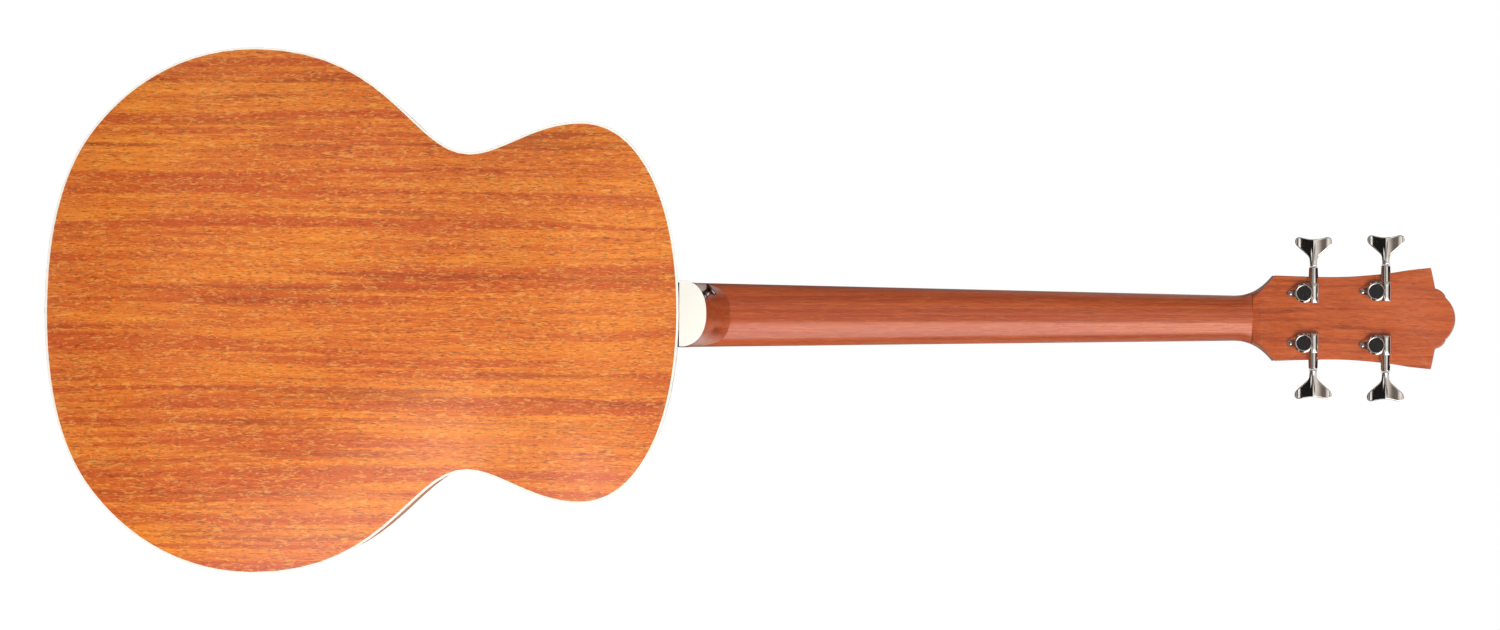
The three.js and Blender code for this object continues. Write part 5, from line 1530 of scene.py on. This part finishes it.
# The strings: three wound with bronze over a steel core, and the treble one wound with finer steel. Each runs
# from its ball under the bridge plate, over the saddle and through the nut, to the coils on its post.
ball_radius, ball_length = 0.0026, 0.005
string_bend, string_bend_shares = 0.003, ((0.17, 0), (0.63, 0.27), (1, 0.93))
coil_turns, coil_gap, coil_steps, coil_bite = 2.5, 0.0006, 36, 0.0005
string_sides = 12
winding_pitch = 0.00055
bronze_strings = 3


def wound(name, colour, dark, pitch, roughness=0.24):
    """String wire: fine windings along the string's own length, from its map, with painted shade darkening the
    gaps between them
    """
    made, tree, seats = new_finish(name)
    along = put(tree, "SeparateXYZ", {"Vector": seats["UV"]}).outputs["Y"]
    wave = put(tree, "Math", {0: times(tree, along, math.tau / pitch)}, operation="SINE").outputs[0]
    ridge = mapped(tree, wave, 0.0, 1.0, -1.0, 1.0)
    cloud = streaks(tree, seats["Object"], (90, 90, 14), 3.0, 0.3, 0.75)
    # Painted shade: the dark tone is blended in, up to 0.6, where the winding wave is low, in the gaps between
    # the windings
    shade = blended(tree, mapped(tree, ridge, 0.6, 0.0, 0.0, 0.4), blended(tree, cloud, colour, dark), dark)
    bump = put(tree, "Bump", {"Height": ridge, "Strength": 0.6, "Distance": 0.0002}).outputs[0]
    shaded(tree, {"Base Color": shade, "Normal": bump, "Metallic": 1.0,
                  "Roughness": mapped(tree, cloud, roughness, roughness + 0.15)})
    return made


def string_route(number, diameter):
    """The string's middle line, from its ball to the end of its coils"""
    _, side, across, up = tuner_places[number]
    radius = diameter / 2
    x, z = string_x(number, string_gap_at_pins), string_hole_z(diameter)
    ball_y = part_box(f"string_{number + 1}")[1].y
    crown_y = saddle_low.y - radius
    nut_x, nut_y = string_x(number, string_gap_at_nut), board_top_y - nut_string_rise - radius
    slope = [Vector((z + run * string_bend, pin_top_y - rise * string_bend))
             for rise, run in string_bend_shares]
    slope.append(Vector((saddle_low.z + 0.0003, crown_y + 0.0001)))
    route = [Vector((x, y, z)) for y in (ball_y - radius - ball_length / 2, front_y, pin_top_y - 0.0002)]
    route += [Vector((x, point.y, point.x)) for point in through(slope, 5)]
    route += [Vector((x, crown_y, (saddle_low.z + saddle_high.z) / 2)), Vector((nut_x, nut_y, nut_low.z)),
              Vector((nut_x, nut_y, nut_high.z))]
    start = head_frame.inverted() @ route[-1]
    coil_radius = post_radius - coil_bite + glue_gap + radius
    reach = Vector((across, up)) - Vector((side * start.x, start.y))
    heading = math.atan2(reach.y, reach.x) + math.asin(coil_radius / reach.length)
    low = waist_low - head_thickness + radius + glue_gap
    for step in range(int(coil_turns * coil_steps) + 1):
        turn = heading + math.pi / 2 - math.tau * step / coil_steps
        coil_x = side * (across + coil_radius * math.cos(turn))
        coil_y = up + coil_radius * math.sin(turn)
        route.append(head_frame @ Vector((coil_x, coil_y, low + (diameter + coil_gap) * step / coil_steps)))
    return route


def wire(route, radius):
    """A round wire along a route, its section carried along without twisting; its map holds its length"""
    across, sections, lengths = Vector((1, 0, 0)), [], [0.0]
    for number, point in enumerate(route):
        before, after = route[max(number - 1, 0)], route[min(number + 1, len(route) - 1)]
        heading = (after - before).normalized()
        across = (across - across.dot(heading) * heading).normalized()
        up = heading.cross(across)
        sections.append([point + radius * (math.cos(turn) * across + math.sin(turn) * up)
                         for turn in round_turns(string_sides)])
        lengths.append(lengths[-1] + (after - point).length)
    piece = skinned(sections)
    for corner in piece.data.uv_layers.active.data:
        row = round(corner.uv.y * (len(route) - 1))
        corner.uv.y = lengths[row]
    return piece


ball_profile = [(radius * ball_radius, height * ball_length) for radius, height in (
    (0, -0.5), (0.8, -0.5), (1, -0.4), (1, 0.4), (0.8, 0.5), (0, 0.5))]
bronze = wound("round_wound_bronze", tone(226, 182, 128), tone(140, 98, 58), winding_pitch)
fine_steel = wound("fine_wound_steel", tone(196, 194, 190), tone(120, 118, 114), winding_pitch * 0.6)
for number, diameter in enumerate(string_diameters):
    route = string_route(number, diameter)
    ball = placed(turned(ball_profile, 28), towards(route[0], (0, 1, 0)))
    string = together([wire(route, diameter / 2), ball])
    fitted(string, f"wound_string_{number + 1}", bronze if number < bronze_strings else fine_steel,
           stands_for=(f"string_{number + 1}",), crease=60)
